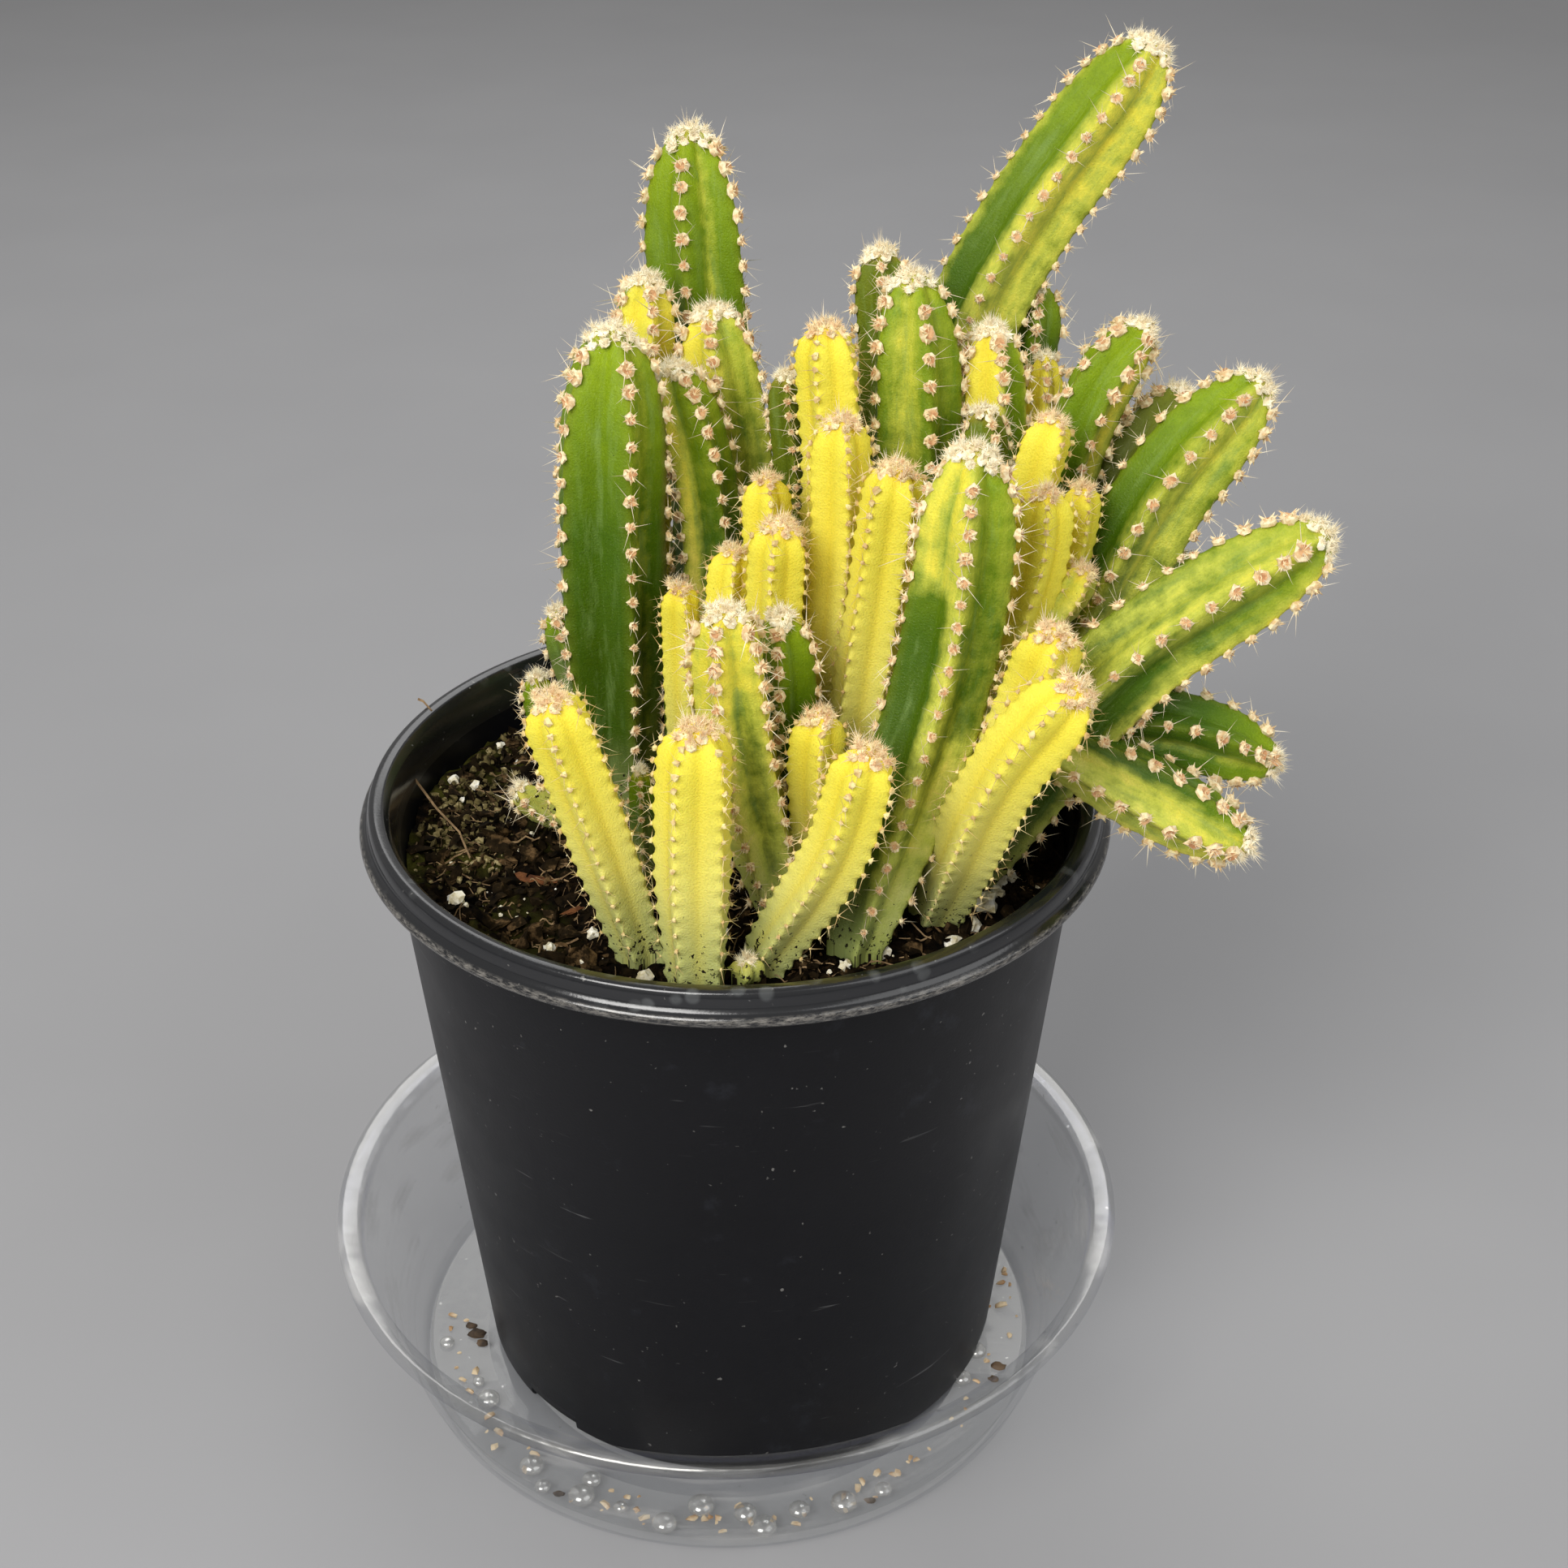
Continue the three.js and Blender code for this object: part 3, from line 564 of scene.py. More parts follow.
CROWDED_END = 15
PATH_STEPS = 60
FULL_SIZE_WIDTH = 13
PATCH_FADE = 20
END_FADE = 0.09
WAVINESS = 0.035


def mixed(first, second, share):
    return first + (second - first) * share


def held(value):
    return max(0.0, min(1.0, value))


class Axis:
    """The line that a stem's middle follows, with its length, its width and its facing."""

    def __init__(self, stem):
        self.stem = stem
        self.habit = HABITS[stem.flesh]
        foot = Vector(stem.foot if len(stem.foot) == 3 else (*stem.foot, SOIL_TOP + SOIL_MOUND))
        belly, tip = Vector(stem.belly), Vector(stem.tip)
        rise, reach = belly - foot, tip - belly
        low, high = sqrt(rise.length), sqrt(reach.length)
        bend = (rise.normalized() + reach.normalized()) * low * high / (low + high) / 3
        curve = geometry.interpolate_bezier
        self.spots = curve(foot, foot + rise / 3, belly - bend * low, belly, PATH_STEPS)
        self.spots += curve(belly, belly + bend * high, tip - reach / 3, tip, PATH_STEPS)[1:]
        ends = zip([foot - rise, *self.spots], [*self.spots[1:], tip + reach])
        self.ways = [(after - before).normalized() for before, after in ends]
        self.ways[0], self.ways[-1] = rise.normalized(), reach.normalized()
        self.lengths = [0.0]
        for before, after in zip(self.spots, self.spots[1:]):
            self.lengths.append(self.lengths[-1] + (after - before).length)
        self.length = self.lengths[-1]
        self.dome = min(MOST_DOME, self.habit.dome * stem.width / 2 / self.length)
        self.slim = min(1, stem.width / FULL_SIZE_WIDTH)
        self.pitch = self.habit.pitch * mixed(0.62, 1, self.slim)
        self.valley = self.habit.filled * cos(pi / stem.ribs)

    def between(self, values, at):
        """The value a share of the way up, from the values kept along the line."""
        wanted = held(at) * self.length
        low = min(bisect.bisect_right(self.lengths, wanted), len(self.lengths) - 1) - 1
        share = (wanted - self.lengths[low]) / (self.lengths[low + 1] - self.lengths[low])
        return mixed(values[low], values[low + 1], share)

    def spot(self, at):
        return self.between(self.spots, at)

    def frame(self, at):
        up = self.between(self.ways, at).normalized()
        back = Vector((0, 1, 0))
        front = -(back - back.dot(up) * up).normalized()
        return up, front, up.cross(front)

    def way(self, at, degrees):
        _, front, side = self.frame(at)
        angle = radians(degrees)
        return front * cos(angle) + side * sin(angle)

    def from_tip(self, at):
        return self.length * (1 - held(at))

    def at_from_tip(self, distance):
        return held(1 - distance / self.length)

    def share(self, at):
        """How wide the stem is there, as a share of its full width."""
        swell = mixed(self.habit.foot, self.habit.belly, sin(pi / 2 * min(1, at / BELLY_PLACE)))
        swell = mixed(swell, 1, held((at - BELLY_PLACE) / (1 - BELLY_PLACE)))
        over = (at - (1 - self.dome)) / self.dome
        return swell if over <= 0 else swell * sqrt(max(0, 1 - over ** self.habit.fullness))

    def dome_at(self, share):
        """How far up the stem its rounded tip has narrowed to a share of its width."""
        return 1 - self.dome * (1 - (1 - share * share) ** (1 / self.habit.fullness))

    def phase(self, distance):
        """Areoles counted from the tip: crowded at the growing end, then at an even pitch."""
        if distance < CROWDED_END:
            return 2 * CROWDED_END / self.pitch * log(1 + distance / CROWDED_END)
        return (2 * log(2) * CROWDED_END + distance - CROWDED_END) / self.pitch

    def distance_of(self, phase):
        crowded = 2 * CROWDED_END / self.pitch
        if phase < crowded * log(2):
            return CROWDED_END * (exp(phase / crowded) - 1)
        return phase * self.pitch - 2 * log(2) * CROWDED_END + CROWDED_END

    def offset(self, rib):
        return 0.4 * rib % 1

    def reach(self, at, rib, gap):
        """The skin's distance from the middle, where gap is 0 on a rib's crest and 1 in a valley."""
        distance = self.from_tip(at)
        youth = 0.15 + 0.55 * exp(-distance / 25)
        rolling = 0.25 + 0.25 * cos(pi * gap) + 0.5 * (1 - gap) ** 2
        creased = 1 - gap ** 1.5
        section = self.valley + (1 - self.valley) * mixed(rolling, creased, youth)
        wave = 0.5 + 0.5 * cos(tau * (self.phase(distance) - self.offset(rib)))
        share = self.share(at)
        tooth = self.habit.tooth * (wave ** 1.5 - 0.1) * exp(-(gap / 0.2) ** 2)
        return self.stem.width / 2 * share * section + tooth * self.slim * min(1, 1.6 * share)

    def crest(self, at, rib):
        bearing = self.stem.turn + rib * 360 / self.stem.ribs
        return self.spot(at) + self.way(at, bearing) * self.reach(at, rib, 0), bearing


def greenness(stem, bearing, at):
    """The flesh's colour at a bearing and a share of the way up."""
    base, *patches = GREENNESS.get(stem.name, (PLAIN_GREENNESS[stem.flesh],))
    value = base
    for middle, half, colour, *span in patches:
        off = abs((bearing - middle + 180) % 360 - 180)
        share = held((half - off) / PATCH_FADE + 0.5)
        if span:
            start, end = span
            share *= held((at - start) / END_FADE + 0.5) * held((end - at) / END_FADE + 0.5)
        value = mixed(value, colour, share)
    return value


def wrapped(bm, columns, rows, place):
    """A grid rolled up by place(column, row), with its seam and its two ends drawn closed."""
    sheet = ops.create_grid(bm, x_segments=columns, y_segments=rows, size=0.5, calc_uvs=True)["verts"]
    for corner in sheet:
        column = round((corner.co.x + 0.5) * columns)
        row = round((corner.co.y + 0.5) * rows)
        place(corner, column, row)
    ops.remove_doubles(bm, verts=sheet, dist=0.002)


def grow(bm, stem, strip, strips):
    """Adds one stem's skin, with its colour and age, and gives it its own strip of the picture plane."""
    axis = Axis(stem)
    body = 1 - axis.dome
    body_length = axis.length - axis.from_tip(body)
    row_height = axis.pitch / 4
    count = max(4, round(body_length / row_height))
    levels = [0, 0] + [axis.at_from_tip(axis.length - body_length * i / count) for i in range(count + 1)]
    count = max(8, round(1.3 * axis.from_tip(body) / row_height))
    levels += [1 - axis.dome * (1 - sin(pi / 2 * (i + 1) / count)) for i in range(count)]
    columns = len(COLUMN_PLACES) * stem.ribs
    green = bm.verts.layers.float["green"]
    age = bm.verts.layers.float["age"]
    valley = bm.verts.layers.float["valley"]
    straight = bm.verts.layers.float_vector["straight"]
    picture = bm.loops.layers.uv.active

    def place(corner, column, row):
        at = levels[row]
        rib, index = divmod(column % columns, len(COLUMN_PLACES))
        across = COLUMN_PLACES[index]
        gap = min(across, 2 - across)
        bearing = stem.turn + (rib + across / 2) * 360 / stem.ribs
        near_rib = rib if across <= 1 else (rib + 1) % stem.ribs
        reach = 0 if row in (0, len(levels) - 1) else axis.reach(at, near_rib, gap)
        distance = axis.from_tip(at)
        angle = radians(bearing)
        line = Vector((reach * cos(angle), reach * sin(angle), distance))
        waviness = noise.noise(line * 0.11 + Vector((strip * 31.7, len(stem.name) * 5.1, 0)))
        corner.co = axis.spot(at) + axis.way(at, bearing) * reach * (1 + WAVINESS * waviness)
        if row < 2 and not stem.on:
            corner.co.z -= FOOT_SINK
        corner[green] = greenness(stem, bearing, at)
        corner[age] = distance / axis.length
        corner[valley] = gap
        corner[straight] = line + Vector((37 * strip + 11 * len(stem.name), 0, 0))

    faces_before = len(bm.faces)
    wrapped(bm, columns, len(levels) - 1, place)
    bm.faces.ensure_lookup_table()
    for face in bm.faces[faces_before:]:
        for loop in face.loops:
            loop[picture].uv.x = (strip + loop[picture].uv.x) / strips


def flesh_finish(name, dark, sheen):
    """Waxy cactus skin: yellow or green by its markings, darker and older towards its foot."""
    material, shader = finish(name, Subsurface_Weight=0.15, Subsurface_Scale=0.004, Specular_IOR_Level=0.2)
    fill(shader.inputs["Subsurface Radius"], (1.0, 0.8, 0.2))
    marks = {}
    for mark in ("green", "age", "valley", "straight"):
        reader = material.node_tree.nodes.new("ShaderNodeAttribute")
        reader.attribute_name = mark
        marks[mark] = reader.outputs
    green, age, valley = (marks[mark]["Fac"] for mark in ("green", "age", "valley"))
    straight = marks["straight"]["Vector"]
    streak = noise_of(scaled(straight, (0.4, 0.4, 0.07)), 1.0, 4.0, 0.65)
    blot = noise_of(straight, 0.22, 4.0, 0.6)
    fine = noise_of(straight, 2.4, 3.0, 0.6)
    from_tip = parts_of(straight)["Z"]
    low = parts_of(here(material))["Z"]

    wobble = plus(stretch(streak, 0.3, 0.7, -0.14, 0.14), stretch(blot, 0.3, 0.7, -0.2, 0.2))
    purity = figure("ABSOLUTE", figure("SUBTRACT", green, 0.5))
    level = plus(green, times(wobble, stretch(purity, 0.5, 0.15, 0.12, 1.0)))

    yellow = scale_of(age, (
        (0.0, (0.95, 0.83, 0.07)), (0.25, (0.93, 0.82, 0.10)),
        (0.65, (0.84, 0.78, 0.20)), (1.0, (0.56, 0.60, 0.22)),
    ))
    # Painted shade: the yellow flesh turns darker orange down into the valleys between the ribs.
    yellow = tint(stretch(valley, 0.4, 1.0, 0.0, 0.38), yellow, (0.86, 0.66, 0.015))
    lime = tint(0.8, yellow, (0.44, 0.51, 0.06))
    leaf = scale_of(age, (
        (0.0, (0.32, 0.44, 0.006)), (0.16, (0.20, 0.31, 0.004)), (0.36, (0.068, 0.145, 0.002)),
        (0.6, (0.055, 0.11, 0.002)), (1.0, (0.05, 0.10, 0.006)),
    ))
    leaf = tint(dark, leaf, (0.11, 0.12, 0.008))
    leaf = tint(stretch(blot, 0.35, 0.75, 0.0, 0.35), leaf, (0.04, 0.11, 0.004))
    # Lighter yellow-green towards each crest: partly the ribs' paler margin, partly painted light on the
    # crests.
    leaf = tint(stretch(valley, 0.3, 0.0, 0.0, 0.3), leaf, (0.24, 0.27, 0.02))
    colour = tint(stretch(level, 0.12, 0.5), yellow, lime)
    colour = tint(stretch(level, 0.5, 0.92), colour, leaf)

    bloom = times(stretch(streak, 0.5, 0.72, 0.0, 0.35), stretch(valley, 0.1, 0.6))
    dabs = noise_of(scaled(straight, (0.85, 0.85, 0.8)), 1.0, 3.0, 0.65)
    dirt = plus(dabs, stretch(low, 0.156, 0.138, -0.12, 0.05))
    for share, added in (
        (times(bloom, stretch(level, 0.35, 0.6)), (0.30, 0.44, 0.14)),
        (stretch(fine, 0.3, 0.7, 0.14, -0.10), (0, 0, 0)),
        (stretch(level, 1.2, 2.0, 0.0, 0.85), (0.12, 0.055, 0.03)),
        (stretch(from_tip, 3.0, 0.5, 0.0, 0.25), (0.80, 0.42, 0.05)),
        (stretch(fine, 0.62, 0.78, 0.0, 0.15), (0.72, 0.76, 0.42)),
        (stretch(low, 0.160, 0.138, 0.0, 0.55), (0.38, 0.42, 0.15)),
        (stretch(dirt, 0.61, 0.64), (0.012, 0.008, 0.005)),
    ):
        colour = tint(share, colour, added)
    fill(shader.inputs["Base Color"], colour)
    fill(shader.inputs["Roughness"], stretch(fine, 0.3, 0.7, sheen - 0.08, sheen + 0.1))
    relief(shader, fine, 0.0004, 0.6)
    return material


FLESH = {
    "green": flesh_finish("green_flesh", 0.0, 0.42),
    "striped": flesh_finish("striped_flesh", 0.05, 0.44),
    "yellow": flesh_finish("yellow_flesh", 0.0, 0.48),
    "olive": flesh_finish("olive_flesh", 0.7, 0.5),
}
for stem in STEMS:
    if stem.on:
        continue
    family = [stem] + [other for other in STEMS if other.on == stem.name]
    skin = bmesh.new()
    skin.loops.layers.uv.new("UVMap")
    for layer in ("green", "age", "valley"):
        skin.verts.layers.float.new(layer)
    skin.verts.layers.float_vector.new("straight")
    for strip, member in enumerate(family):
        grow(skin, member, strip, len(family))
    ops.recalc_face_normals(skin, faces=skin.faces)
    make_piece(skin, stem.name + "_skin", [FLESH[stem.flesh]], [stem.name], 80)


# Areoles and spines: on every tooth of a rib sits a felted knob with a brown
# heart, from which a fan of stiff pale needles stands; wool crowds each crown.

WOOL_RADIUS = {"green": (1.95, 1.0), "striped": (1.75, 0.9), "yellow": (0.85, 0.33), "olive": (1.45, 0.9)}
CROWN_RADIUS = {"green": 0.52, "striped": 0.52, "yellow": 0.62, "olive": 0.55}
BARE_FOOT = 4
BARE_ABOVE_SOIL = 3
GOLDEN_ANGLE = 137.5
TUFTS_PER_KNOB = 4
KNOBS_PER_NEEDLE_FAN = 4


def add_needle(bm, lean, middle, radius, length):
    """A thin three-sided needle along lean, with its middle so far out from the root."""
    placing = Matrix.Translation(lean * middle) @ lean.to_track_quat("Z", "Y").to_matrix().to_4x4()
    ops.create_cone(bm, cap_ends=True, segments=3, radius1=radius, radius2=0, depth=length, matrix=placing)


def felt_knob(seed, seen_heart):
    """A knobbly ring of felt, radius 1, with a sunken heart: a low sphere and a few curled tufts."""
    pick = random.Random(seed)
    bm = bmesh.new()
    ops.create_uvsphere(bm, u_segments=8, v_segments=5, radius=1)
    for corner in bm.verts:
        out = hypot(corner.co.x, corner.co.y)
        corner.co *= 1 + 0.6 * noise.noise(corner.co * 2.3 + Vector((seed * 5.7, 0, 0)))
        if corner.co.z > 0 and out < 0.4:
            corner.co.z -= 0.6
        corner.co.z *= 0.62
    for face in bm.faces:
        middle = face.calc_center_median()
        in_heart = middle.z > 0 and hypot(middle.x, middle.y) < 0.5
        face.material_index = 1 if seen_heart and in_heart else 0
    for _ in range(5):
        bearing = pick.uniform(0, tau)
        lean = Vector((cos(bearing), sin(bearing), pick.uniform(0.2, 1.3))).normalized()
        add_needle(bm, lean, 0.8, 0.32, 1.3)
    return mesh_of(bm, "felt_knob")


def needle_fan(seed, lengths, spread, radius):
    """Needles that fan out from one root round the upright axis."""
    pick = random.Random(seed)
    bm = bmesh.new()
    for count, shortest, longest in lengths:
        for index in range(count):
            bearing = (index + pick.uniform(-0.4, 0.4)) * tau / count + shortest
            tilt = radians(pick.uniform(*spread))
            side, up = sin(tilt), cos(tilt)
            length = pick.uniform(shortest, longest)
            lean = Vector((side * cos(bearing), side * sin(bearing), up))
            add_needle(bm, lean, length / 2, radius, length)
    return mesh_of(bm, "needle_fan")


def wool_finish(name, pale, warm, grain):
    material, shader = finish(name, Roughness=0.95, Specular_IOR_Level=0.1)
    patch = noise_of(here(material), grain, 2.0)
    fill(shader.inputs["Base Color"], scale_of(patch, ((0.40, pale), (0.60, warm))))
    return material


cream_wool = wool_finish("cream_wool", (0.95, 0.82, 0.54), (0.72, 0.50, 0.26), 900.0)
white_wool = wool_finish("white_wool", (0.98, 0.93, 0.74), (0.88, 0.75, 0.50), 700.0)
pink_wool = wool_finish("pink_wool", (0.98, 0.86, 0.54), (0.82, 0.58, 0.34), 800.0)
tan_wool = wool_finish("tan_wool", (0.90, 0.76, 0.36), (0.62, 0.42, 0.18), 500.0)
brown_heart = wool_finish("brown_heart", (0.46, 0.22, 0.10), (0.68, 0.40, 0.20), 900.0)
pale_needle = wool_finish("pale_needle", (0.88, 0.80, 0.62), (0.70, 0.58, 0.40), 300.0)
tawny_needle = wool_finish("tawny_needle", (0.80, 0.66, 0.36), (0.56, 0.38, 0.16), 300.0)

big_knobs = [felt_knob(seed, True) for seed in range(6)]
small_knobs = [lump(seed, 0.7, 0.7, 1) for seed in range(4)]
crown_knobs = [felt_knob(seed + 20, False) for seed in range(4)]
pale_fans = [needle_fan(seed, ((3, 3.6, 7.6), (6, 1.5, 3.0)), (25, 84), 0.14) for seed in range(6)]
tawny_fans = [needle_fan(seed + 30, ((4, 1.4, 4.2),), (25, 85), 0.10) for seed in range(6)]
crown_fans = [needle_fan(seed + 60, ((4, 2.6, 5.2),), (3, 40), 0.12) for seed in range(4)]
wool_tufts = [needle_fan(seed + 80, ((6, 1.0, 2.0), (8, 1.5, 2.8)), (5, 88), 0.09) for seed in range(5)]


def seat(bm, shapes, spot, out, size):
    """Stands one of a few small shapes on the skin at spot, pointing out and turned by chance."""
    shape = draw.choice(shapes)
    turning = out.to_track_quat("Z", "Y").to_matrix().to_4x4()
    spin = Matrix.Rotation(draw.uniform(0, tau), 4, "Z")
    copy_into(bm, shape, Matrix.Translation(spot) @ turning @ spin @ Matrix.Scale(size, 4))


def add_areoles(axis, knobs, fans):
    """Seats a knob and its needles on every tooth of each rib."""
    fine = axis.stem.flesh == "yellow"
    young, old = WOOL_RADIUS[axis.stem.flesh]
    for rib in range(axis.stem.ribs):
        count = axis.offset(rib)
        while axis.distance_of(count + 1) < axis.length - BARE_FOOT:
            count += 1
            distance = axis.distance_of(count)
            at = axis.at_from_tip(distance)
            spot, bearing = axis.crest(at, rib)
            if axis.share(at) < CROWN_RADIUS[axis.stem.flesh] or spot.z < SOIL_TOP + BARE_ABOVE_SOIL:
                continue
            out = (axis.way(at, bearing) + 0.3 * axis.frame(at)[0]).normalized()
            size = mixed(old, young, exp(-distance / 30)) * axis.slim * draw.uniform(0.82, 1.15)
            seat(knobs, small_knobs if fine else big_knobs, spot, out, size)
            stiff = mixed(0.75, 1.1, exp(-distance / 30)) * draw.uniform(0.75, 1.15)
            stiff *= mixed(0.6, 1, axis.slim)
            seat(fans, tawny_fans if fine else pale_fans, spot, out, stiff)


def add_crown(axis, crowns, tufts, needles):
    """Packs the top of the rounded tip with woolly knobs, tufts of hair and upright needles."""
    stem = axis.stem
    cap = CROWN_RADIUS[stem.flesh] * stem.width / 2
    spots = max(7, round(0.42 * cap ** 2 + 6))
    for index in range(spots):
        away = sqrt((index + 0.5) / spots)
        at = axis.dome_at(away * CROWN_RADIUS[stem.flesh])
        up = axis.frame(at)[0]
        way = axis.way(at, index * GOLDEN_ANGLE)
        spot = axis.spot(at) + way * away * cap * 0.92
        out = (up * 1.1 + way * away).normalized()
        size = mixed(0.9, 1.35, away) * axis.slim * draw.uniform(0.75, 1.2)
        if stem.flesh == "yellow":
            size *= 0.85
        seat(crowns, crown_knobs, spot, out, size)
        for _ in range(TUFTS_PER_KNOB):
            astray = Vector([draw.uniform(-1, 1) for _ in range(3)]) * 0.9 * axis.slim
            size = draw.uniform(0.7, 1.15) * mixed(0.55, 1, axis.slim)
            seat(tufts, wool_tufts, spot + astray, out, size)
        if index % KNOBS_PER_NEEDLE_FAN == 0:
            stiff = draw.uniform(0.7, 1.1) * mixed(0.55, 1, axis.slim)
            seat(needles, crown_fans, spot, out, stiff)


draw = random.Random(5)
for flesh in FLESH:
    knobs, fans, crowns, tufts, crown_needles = (bmesh.new() for _ in range(5))
    for stem in STEMS:
        if stem.flesh == flesh:
            axis = Axis(stem)
            add_areoles(axis, knobs, fans)
            add_crown(axis, crowns, tufts, crown_needles)
    fine = flesh == "yellow"
    make_piece(knobs, flesh + "_areoles", [tan_wool if fine else cream_wool, brown_heart])
    make_piece(fans, flesh + "_spines", [tawny_needle if fine else pale_needle])
    make_piece(crowns, flesh + "_crown_wool", [pink_wool if fine else white_wool])
    make_piece(tufts, flesh + "_crown_hair", [pink_wool if fine else white_wool])
    make_piece(crown_needles, flesh + "_crown_spines", [pale_needle])


# Soil: dark peat filled to a little below the rim, heaved and crumbly, damp
# with green algae at the left, and stuck with grit, perlite and plant fibre.

SOIL_BOTTOM = 5.3
SOIL_FOOT_RADIUS = 59.2
SOIL_RADIUS = 72.4
SOIL_COLUMNS = 300
SOIL_RINGS = 95
SOIL_SHOULDER = 2.5
SOIL_EDGE = 1.5
WALL_GAP = 1
WALL_ROWS = 6
CRUMB_COUNT = 3400
ALGAE_COUNT = 560
ALGAE_MIDDLE = (-60, 12)
ALGAE_SPREAD = (7, 18)
SMALL_PERLITE_COUNT = 150
FIBRE_COUNT = 620


def soil_height(x, y):
    heave = sin(x * 0.21) * cos(y * 0.17) - 0.5
    clods = noise.noise(Vector((x, y, 0)) * 0.16) * 1.1
    crumbs = noise.noise(Vector((x, y, 3)) * 0.5) * 1.1 + noise.noise(Vector((x, y, 7)) * 1.1) * 0.7
    return SOIL_TOP + SOIL_MOUND * heave + clods + crumbs


def earth_finish(name, grain, tones, gloss=0.2):
    """A crumbly matt material that goes through its tones from grain to grain."""
    material, shader = finish(name, Roughness=0.92, Specular_IOR_Level=gloss)
    grit = noise_of(here(material), grain, 6.0, 0.7)
    colour = scale_of(grit, tones)
    fill(shader.inputs["Base Color"], colour)
    return material, shader, grit, colour


peat, peat_shader, peat_grit, peat_colour = earth_finish(
    "peat", 420.0,
    ((0.36, (0.001, 0.0008, 0.0005)), (0.56, (0.006, 0.0035, 0.0015)), (0.74, (0.04, 0.022, 0.009))),
    0.05,
)
place = here(peat)
moss = stretch(noise_of(place, 70.0, 4.0, 0.6), 0.48, 0.6, 0.0, 0.55)
moss = times(stretch(parts_of(place)["X"], -0.03, -0.06), moss)
fill(peat_shader.inputs["Base Color"], tint(moss, peat_colour, (0.085, 0.085, 0.012)))
relief(peat_shader, peat_grit, 0.001, 1.0)

bed = bmesh.new()
bed.loops.layers.uv.new("UVMap")
levels = [(0, SOIL_BOTTOM)]
for step in range(WALL_ROWS + 1):
    share = step / WALL_ROWS
    radius = mixed(SOIL_FOOT_RADIUS, SOIL_RADIUS, share)
    levels.append((radius, mixed(SOIL_BOTTOM, SOIL_TOP - SOIL_SHOULDER, share)))
levels += [(SOIL_RADIUS * (1 - step / SOIL_RINGS), None) for step in range(SOIL_RINGS + 1)]


def place_soil(corner, column, row):
    radius, level = levels[row]
    angle = (column % SOIL_COLUMNS) * tau / SOIL_COLUMNS
    x, y = radius * cos(angle), radius * sin(angle)
    corner.co = (x, y, soil_height(x, y) if level is None else level)


wrapped(bed, SOIL_COLUMNS, len(levels) - 1, place_soil)
ops.recalc_face_normals(bed, faces=bed.faces)
make_piece(bed, "peat_bed", [peat], ["soil"], 60)

dark_crumb, *_ = earth_finish(
    "dark_crumbs", 160.0,
    ((0.38, (0.0015, 0.001, 0.0005)), (0.55, (0.016, 0.010, 0.004)), (0.68, (0.15, 0.09, 0.04))),
    0.06,
)
algae, *_ = earth_finish(
    "algae_crumbs", 220.0,
    ((0.38, (0.03, 0.022, 0.006)), (0.55, (0.14, 0.11, 0.04)), (0.68, (0.46, 0.38, 0.20))),
)
bark, bark_shader, bark_grit, _ = earth_finish(
    "bark", 260.0, ((0.36, (0.06, 0.02, 0.008)), (0.54, (0.16, 0.06, 0.02)), (0.68, (0.30, 0.15, 0.06))),
)
relief(bark_shader, bark_grit, 0.0006, 1.0)
white_grit, grit_shader, grit_tone, _ = earth_finish(
    "perlite", 500.0, ((0.34, (0.50, 0.42, 0.22)), (0.5, (0.78, 0.72, 0.55)), (0.62, (0.90, 0.88, 0.80))),
)
relief(grit_shader, grit_tone, 0.0004, 0.9)


def clear_of_stems(x, y, room):
    return all(
        hypot(x - stem.foot[0], y - stem.foot[1]) > stem.width / 2 * HABITS[stem.flesh].foot + room
        for stem in STEMS if not stem.on
    )


def soil_spot(room, inner=0.0):
    """A seeded spot on the open soil."""
    while True:
        bearing = draw.uniform(0, tau)
        radius = (SOIL_RADIUS - SOIL_EDGE) * sqrt(draw.uniform(inner, 1))
        x, y = radius * cos(bearing), radius * sin(bearing)
        if clear_of_stems(x, y, room):
            return x, y


def on_soil(x, y, lift):
    return Matrix.Translation((x, y, soil_height(x, y) + lift))


def drop(bm, shapes, x, y, lift, shape):
    """Lays one of a few small grains on the soil, shaped by a matrix and tumbled by chance."""
    grain = draw.choice(shapes)
    pole = Vector([draw.gauss(0, 1) for _ in range(3)]).normalized()
    tumbled = Quaternion(pole, draw.uniform(0, tau)).to_matrix().to_4x4()
    copy_into(bm, grain, on_soil(x, y, lift) @ tumbled @ shape)


draw = random.Random(23)
crumb_shapes = [lump(seed + 40, 1.1, 0.8, 1) for seed in range(6)]
crumbs = bmesh.new()
for _ in range(CRUMB_COUNT):
    x, y = soil_spot(0.2)
    size = 0.35 + 1.5 * draw.random() ** 3
    shape = Matrix.Diagonal((size * draw.uniform(1, 2.2), size, size * draw.uniform(0.5, 1), 1))
    drop(crumbs, crumb_shapes, x, y, 0.4 * size, shape)
make_piece(crumbs, "peat_crumbs", [dark_crumb])

green_crumbs = bmesh.new()
placed = 0
while placed < ALGAE_COUNT:
    x, y = (draw.gauss(middle, spread) for middle, spread in zip(ALGAE_MIDDLE, ALGAE_SPREAD))
    if hypot(x, y) > SOIL_RADIUS - SOIL_EDGE or not clear_of_stems(x, y, 0.3):
        continue
    placed += 1
    size = 0.25 + 0.75 * draw.random() ** 2
    drop(green_crumbs, crumb_shapes, x, y, 0.7 * size, Matrix.Scale(size, 4))
make_piece(green_crumbs, "algae_crumbs", [algae])

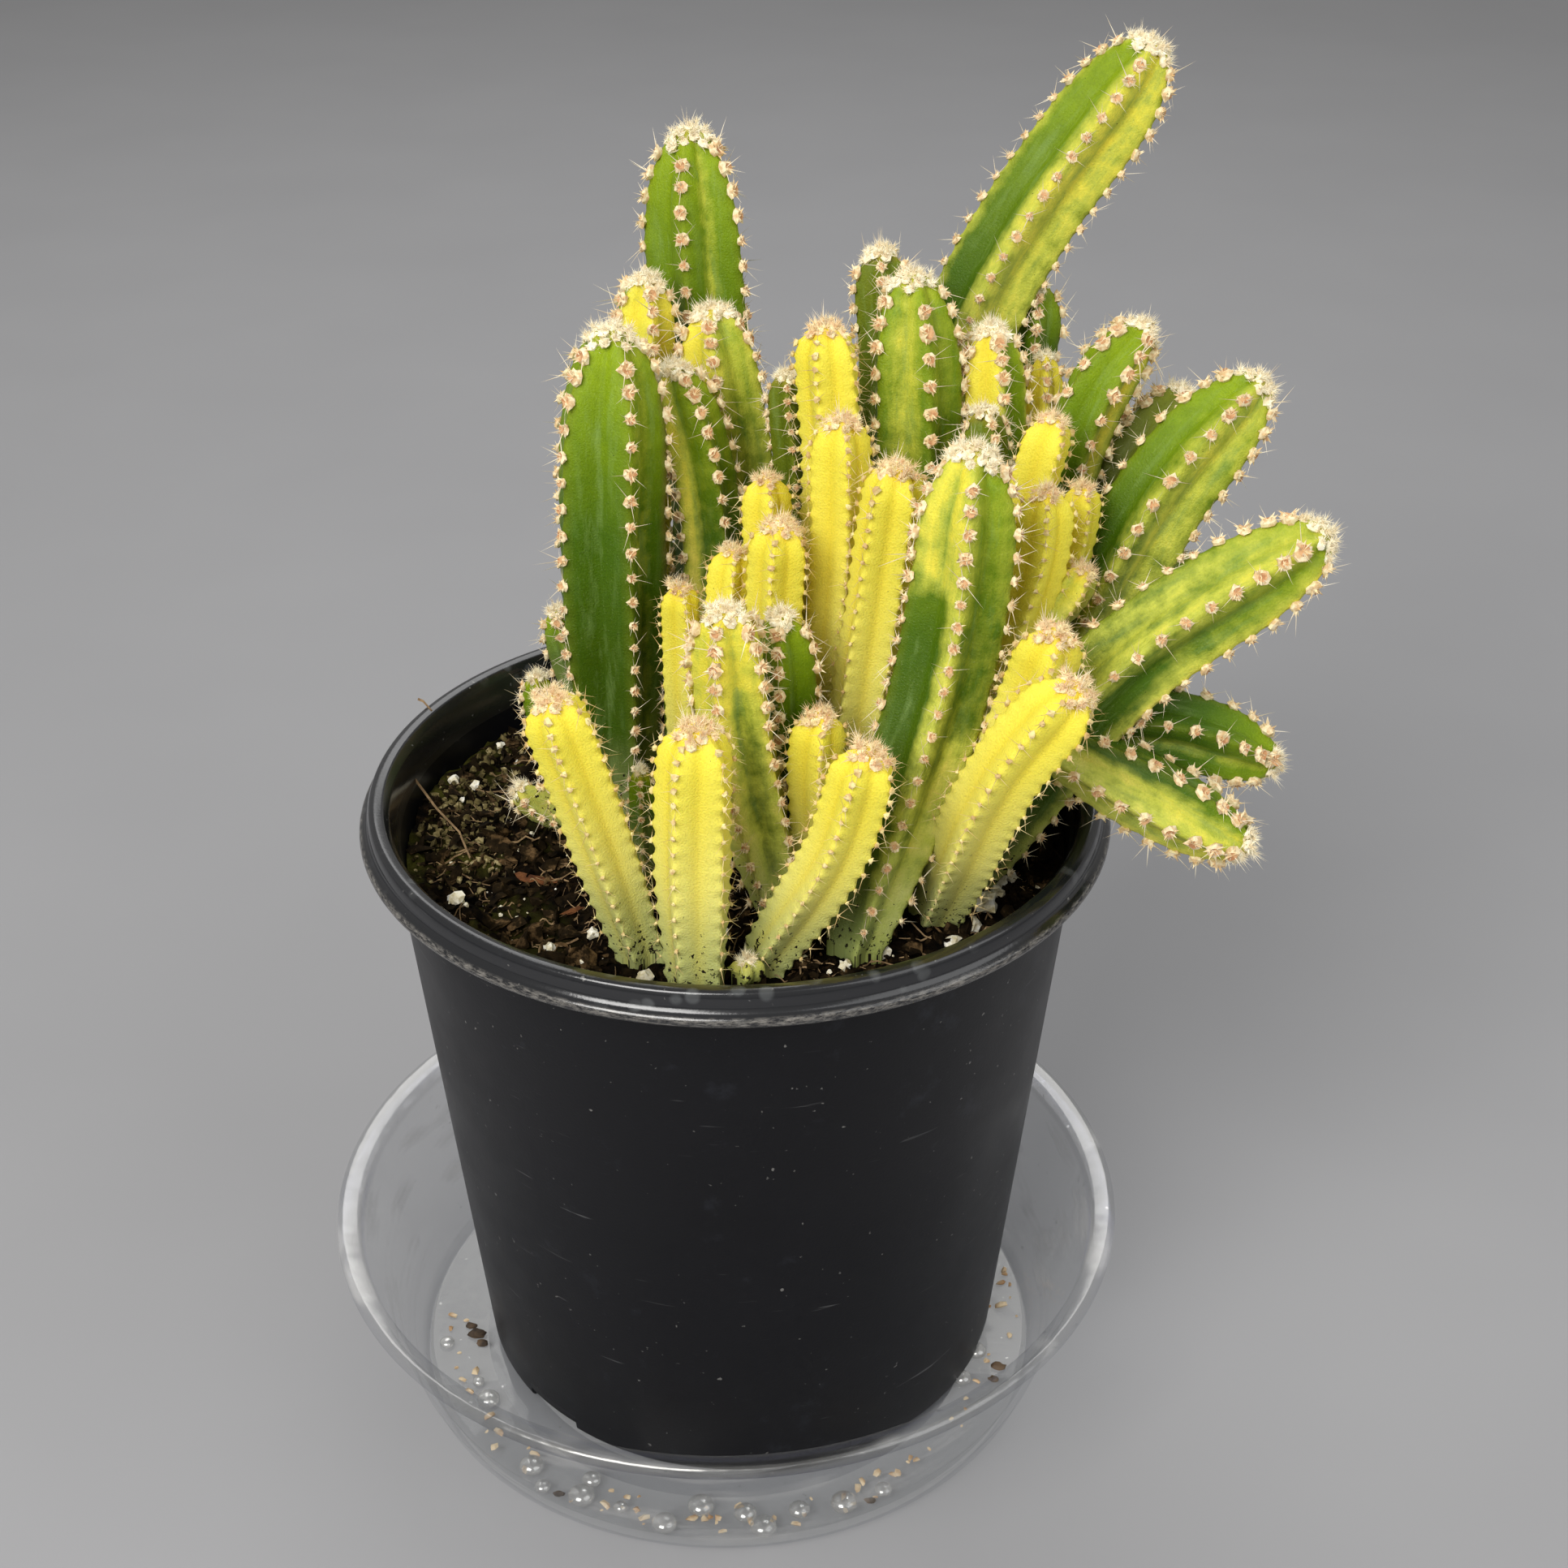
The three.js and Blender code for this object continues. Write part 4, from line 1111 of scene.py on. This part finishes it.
BARK_CHIPS = (
    (-42.7, -18.7, 9.5, 3.2, -20), (-34, -30, 4.5, 1.6, 35), (58, 8, 5, 1.8, 70), (-20, 66, 6, 2.2, 15),
)
chips = bmesh.new()
for x, y, length, width, turn in BARK_CHIPS:
    placing = on_soil(x, y, 0.5) @ Matrix.Rotation(radians(turn), 4, "Z")
    shape = Matrix.Diagonal((length / 2, width / 2, width / 2.4, 1))
    copy_into(chips, lump(x, 0.9, 0.5, 2), placing @ shape)
make_piece(chips, "bark_chips", [bark], sharp=25)

PERLITE = (
    (-58.7, -27.3, 2.1), (53.3, -28.2, 2.8), (50, -34, 2.0), (45.7, -41.9, 1.8), (49, -25, 2.0),
    (-17.4, -54.9, 1.9), (-30, -49, 1.7), (-12, -53.5, 1.4), (31, -45, 1.7), (23, -52, 1.3), (-60, 20, 1.2),
    (-65, 22, 1.4), (56, -24, 1.7), (56.3, -19.5, 2.6), (-29, -40, 1.3), (60, -18, 1.4), (44, -48, 1.3),
    (-45, -34, 1.1), (-38, -44, 1.5), (-60, 45, 1.3), (-56, 38, 1.0),
)
perlite_shapes = [lump(seed + 70, 0.7, 0.85, 2) for seed in range(4)]
perlite = bmesh.new()
small = [(*soil_spot(0.6), 0.25 + 0.7 * draw.random() ** 3) for _ in range(SMALL_PERLITE_COUNT)]
for x, y, size in (*PERLITE, *small):
    drop(perlite, perlite_shapes, x, y, 0.4 * size, Matrix.Scale(size, 4))
make_piece(perlite, "perlite_grains", [white_grit])

straw_tones = ((0.35, (0.09, 0.05, 0.022)), (0.65, (0.36, 0.24, 0.12)))
straw, *_ = earth_finish("dry_straw", 240.0, straw_tones, 0.35)


def strand(points, thick):
    """A fibre through a few points: a three-sided rod that is thinner at its far end."""
    bm = bmesh.new()
    ring = ops.create_circle(bm, cap_ends=True, segments=3, radius=thick)["verts"]
    face = bm.faces[:][0]
    toward = (Vector(points[1]) - Vector(points[0])).normalized().to_track_quat("Z", "Y").to_matrix()
    ops.transform(bm, matrix=Matrix.Translation(points[0]) @ toward.to_4x4(), verts=ring)
    for before, after in zip(points, points[1:]):
        moved = ops.extrude_face_region(bm, geom=[face])["geom"]
        corners = [item for item in moved if isinstance(item, bmesh.types.BMVert)]
        ops.delete(bm, geom=[face], context="FACES_ONLY")
        ops.translate(bm, vec=Vector(after) - Vector(before), verts=corners)
        ops.scale(bm, vec=(0.9, 0.9, 0.9), space=Matrix.Translation(-Vector(after)), verts=corners)
        face = next(item for item in moved if isinstance(item, bmesh.types.BMFace))
    ops.recalc_face_normals(bm, faces=bm.faces)
    return mesh_of(bm, "strand")


fibres = bmesh.new()
STRAND_STEPS = 5
for _ in range(FIBRE_COUNT):
    x, y = soil_spot(1.5)
    length = 2.5 + 9 * draw.random() ** 2
    turn, bow = draw.uniform(0, tau), draw.uniform(-0.9, 0.9)
    lift, thick = draw.uniform(0.1, 1.1), draw.uniform(0.1, 0.28)
    points = []
    for step in range(STRAND_STEPS + 1):
        points.append((x, y, soil_height(x, y) + lift))
        x += length / STRAND_STEPS * cos(turn + bow * step / STRAND_STEPS)
        y += length / STRAND_STEPS * sin(turn + bow * step / STRAND_STEPS)
    if hypot(x, y) < SOIL_RADIUS - WALL_GAP:
        copy_into(fibres, strand(points, thick), Matrix())
LONG_STRAW = ((-76, 22, 146), (-72.5, 14, 141), (-67, 7, 137.5), (-61, -2, 137), (-57.5, -12, 136.5))
LIP_STRAW = ((-74.2, 37.5, 148.6), (-72.6, 35, 149.4), (-70.4, 31.6, 148.9))
for points, thick in ((LONG_STRAW, 0.42), (LIP_STRAW, 0.35)):
    copy_into(fibres, strand(points, thick), Matrix())
make_piece(fibres, "peat_fibres", [straw])
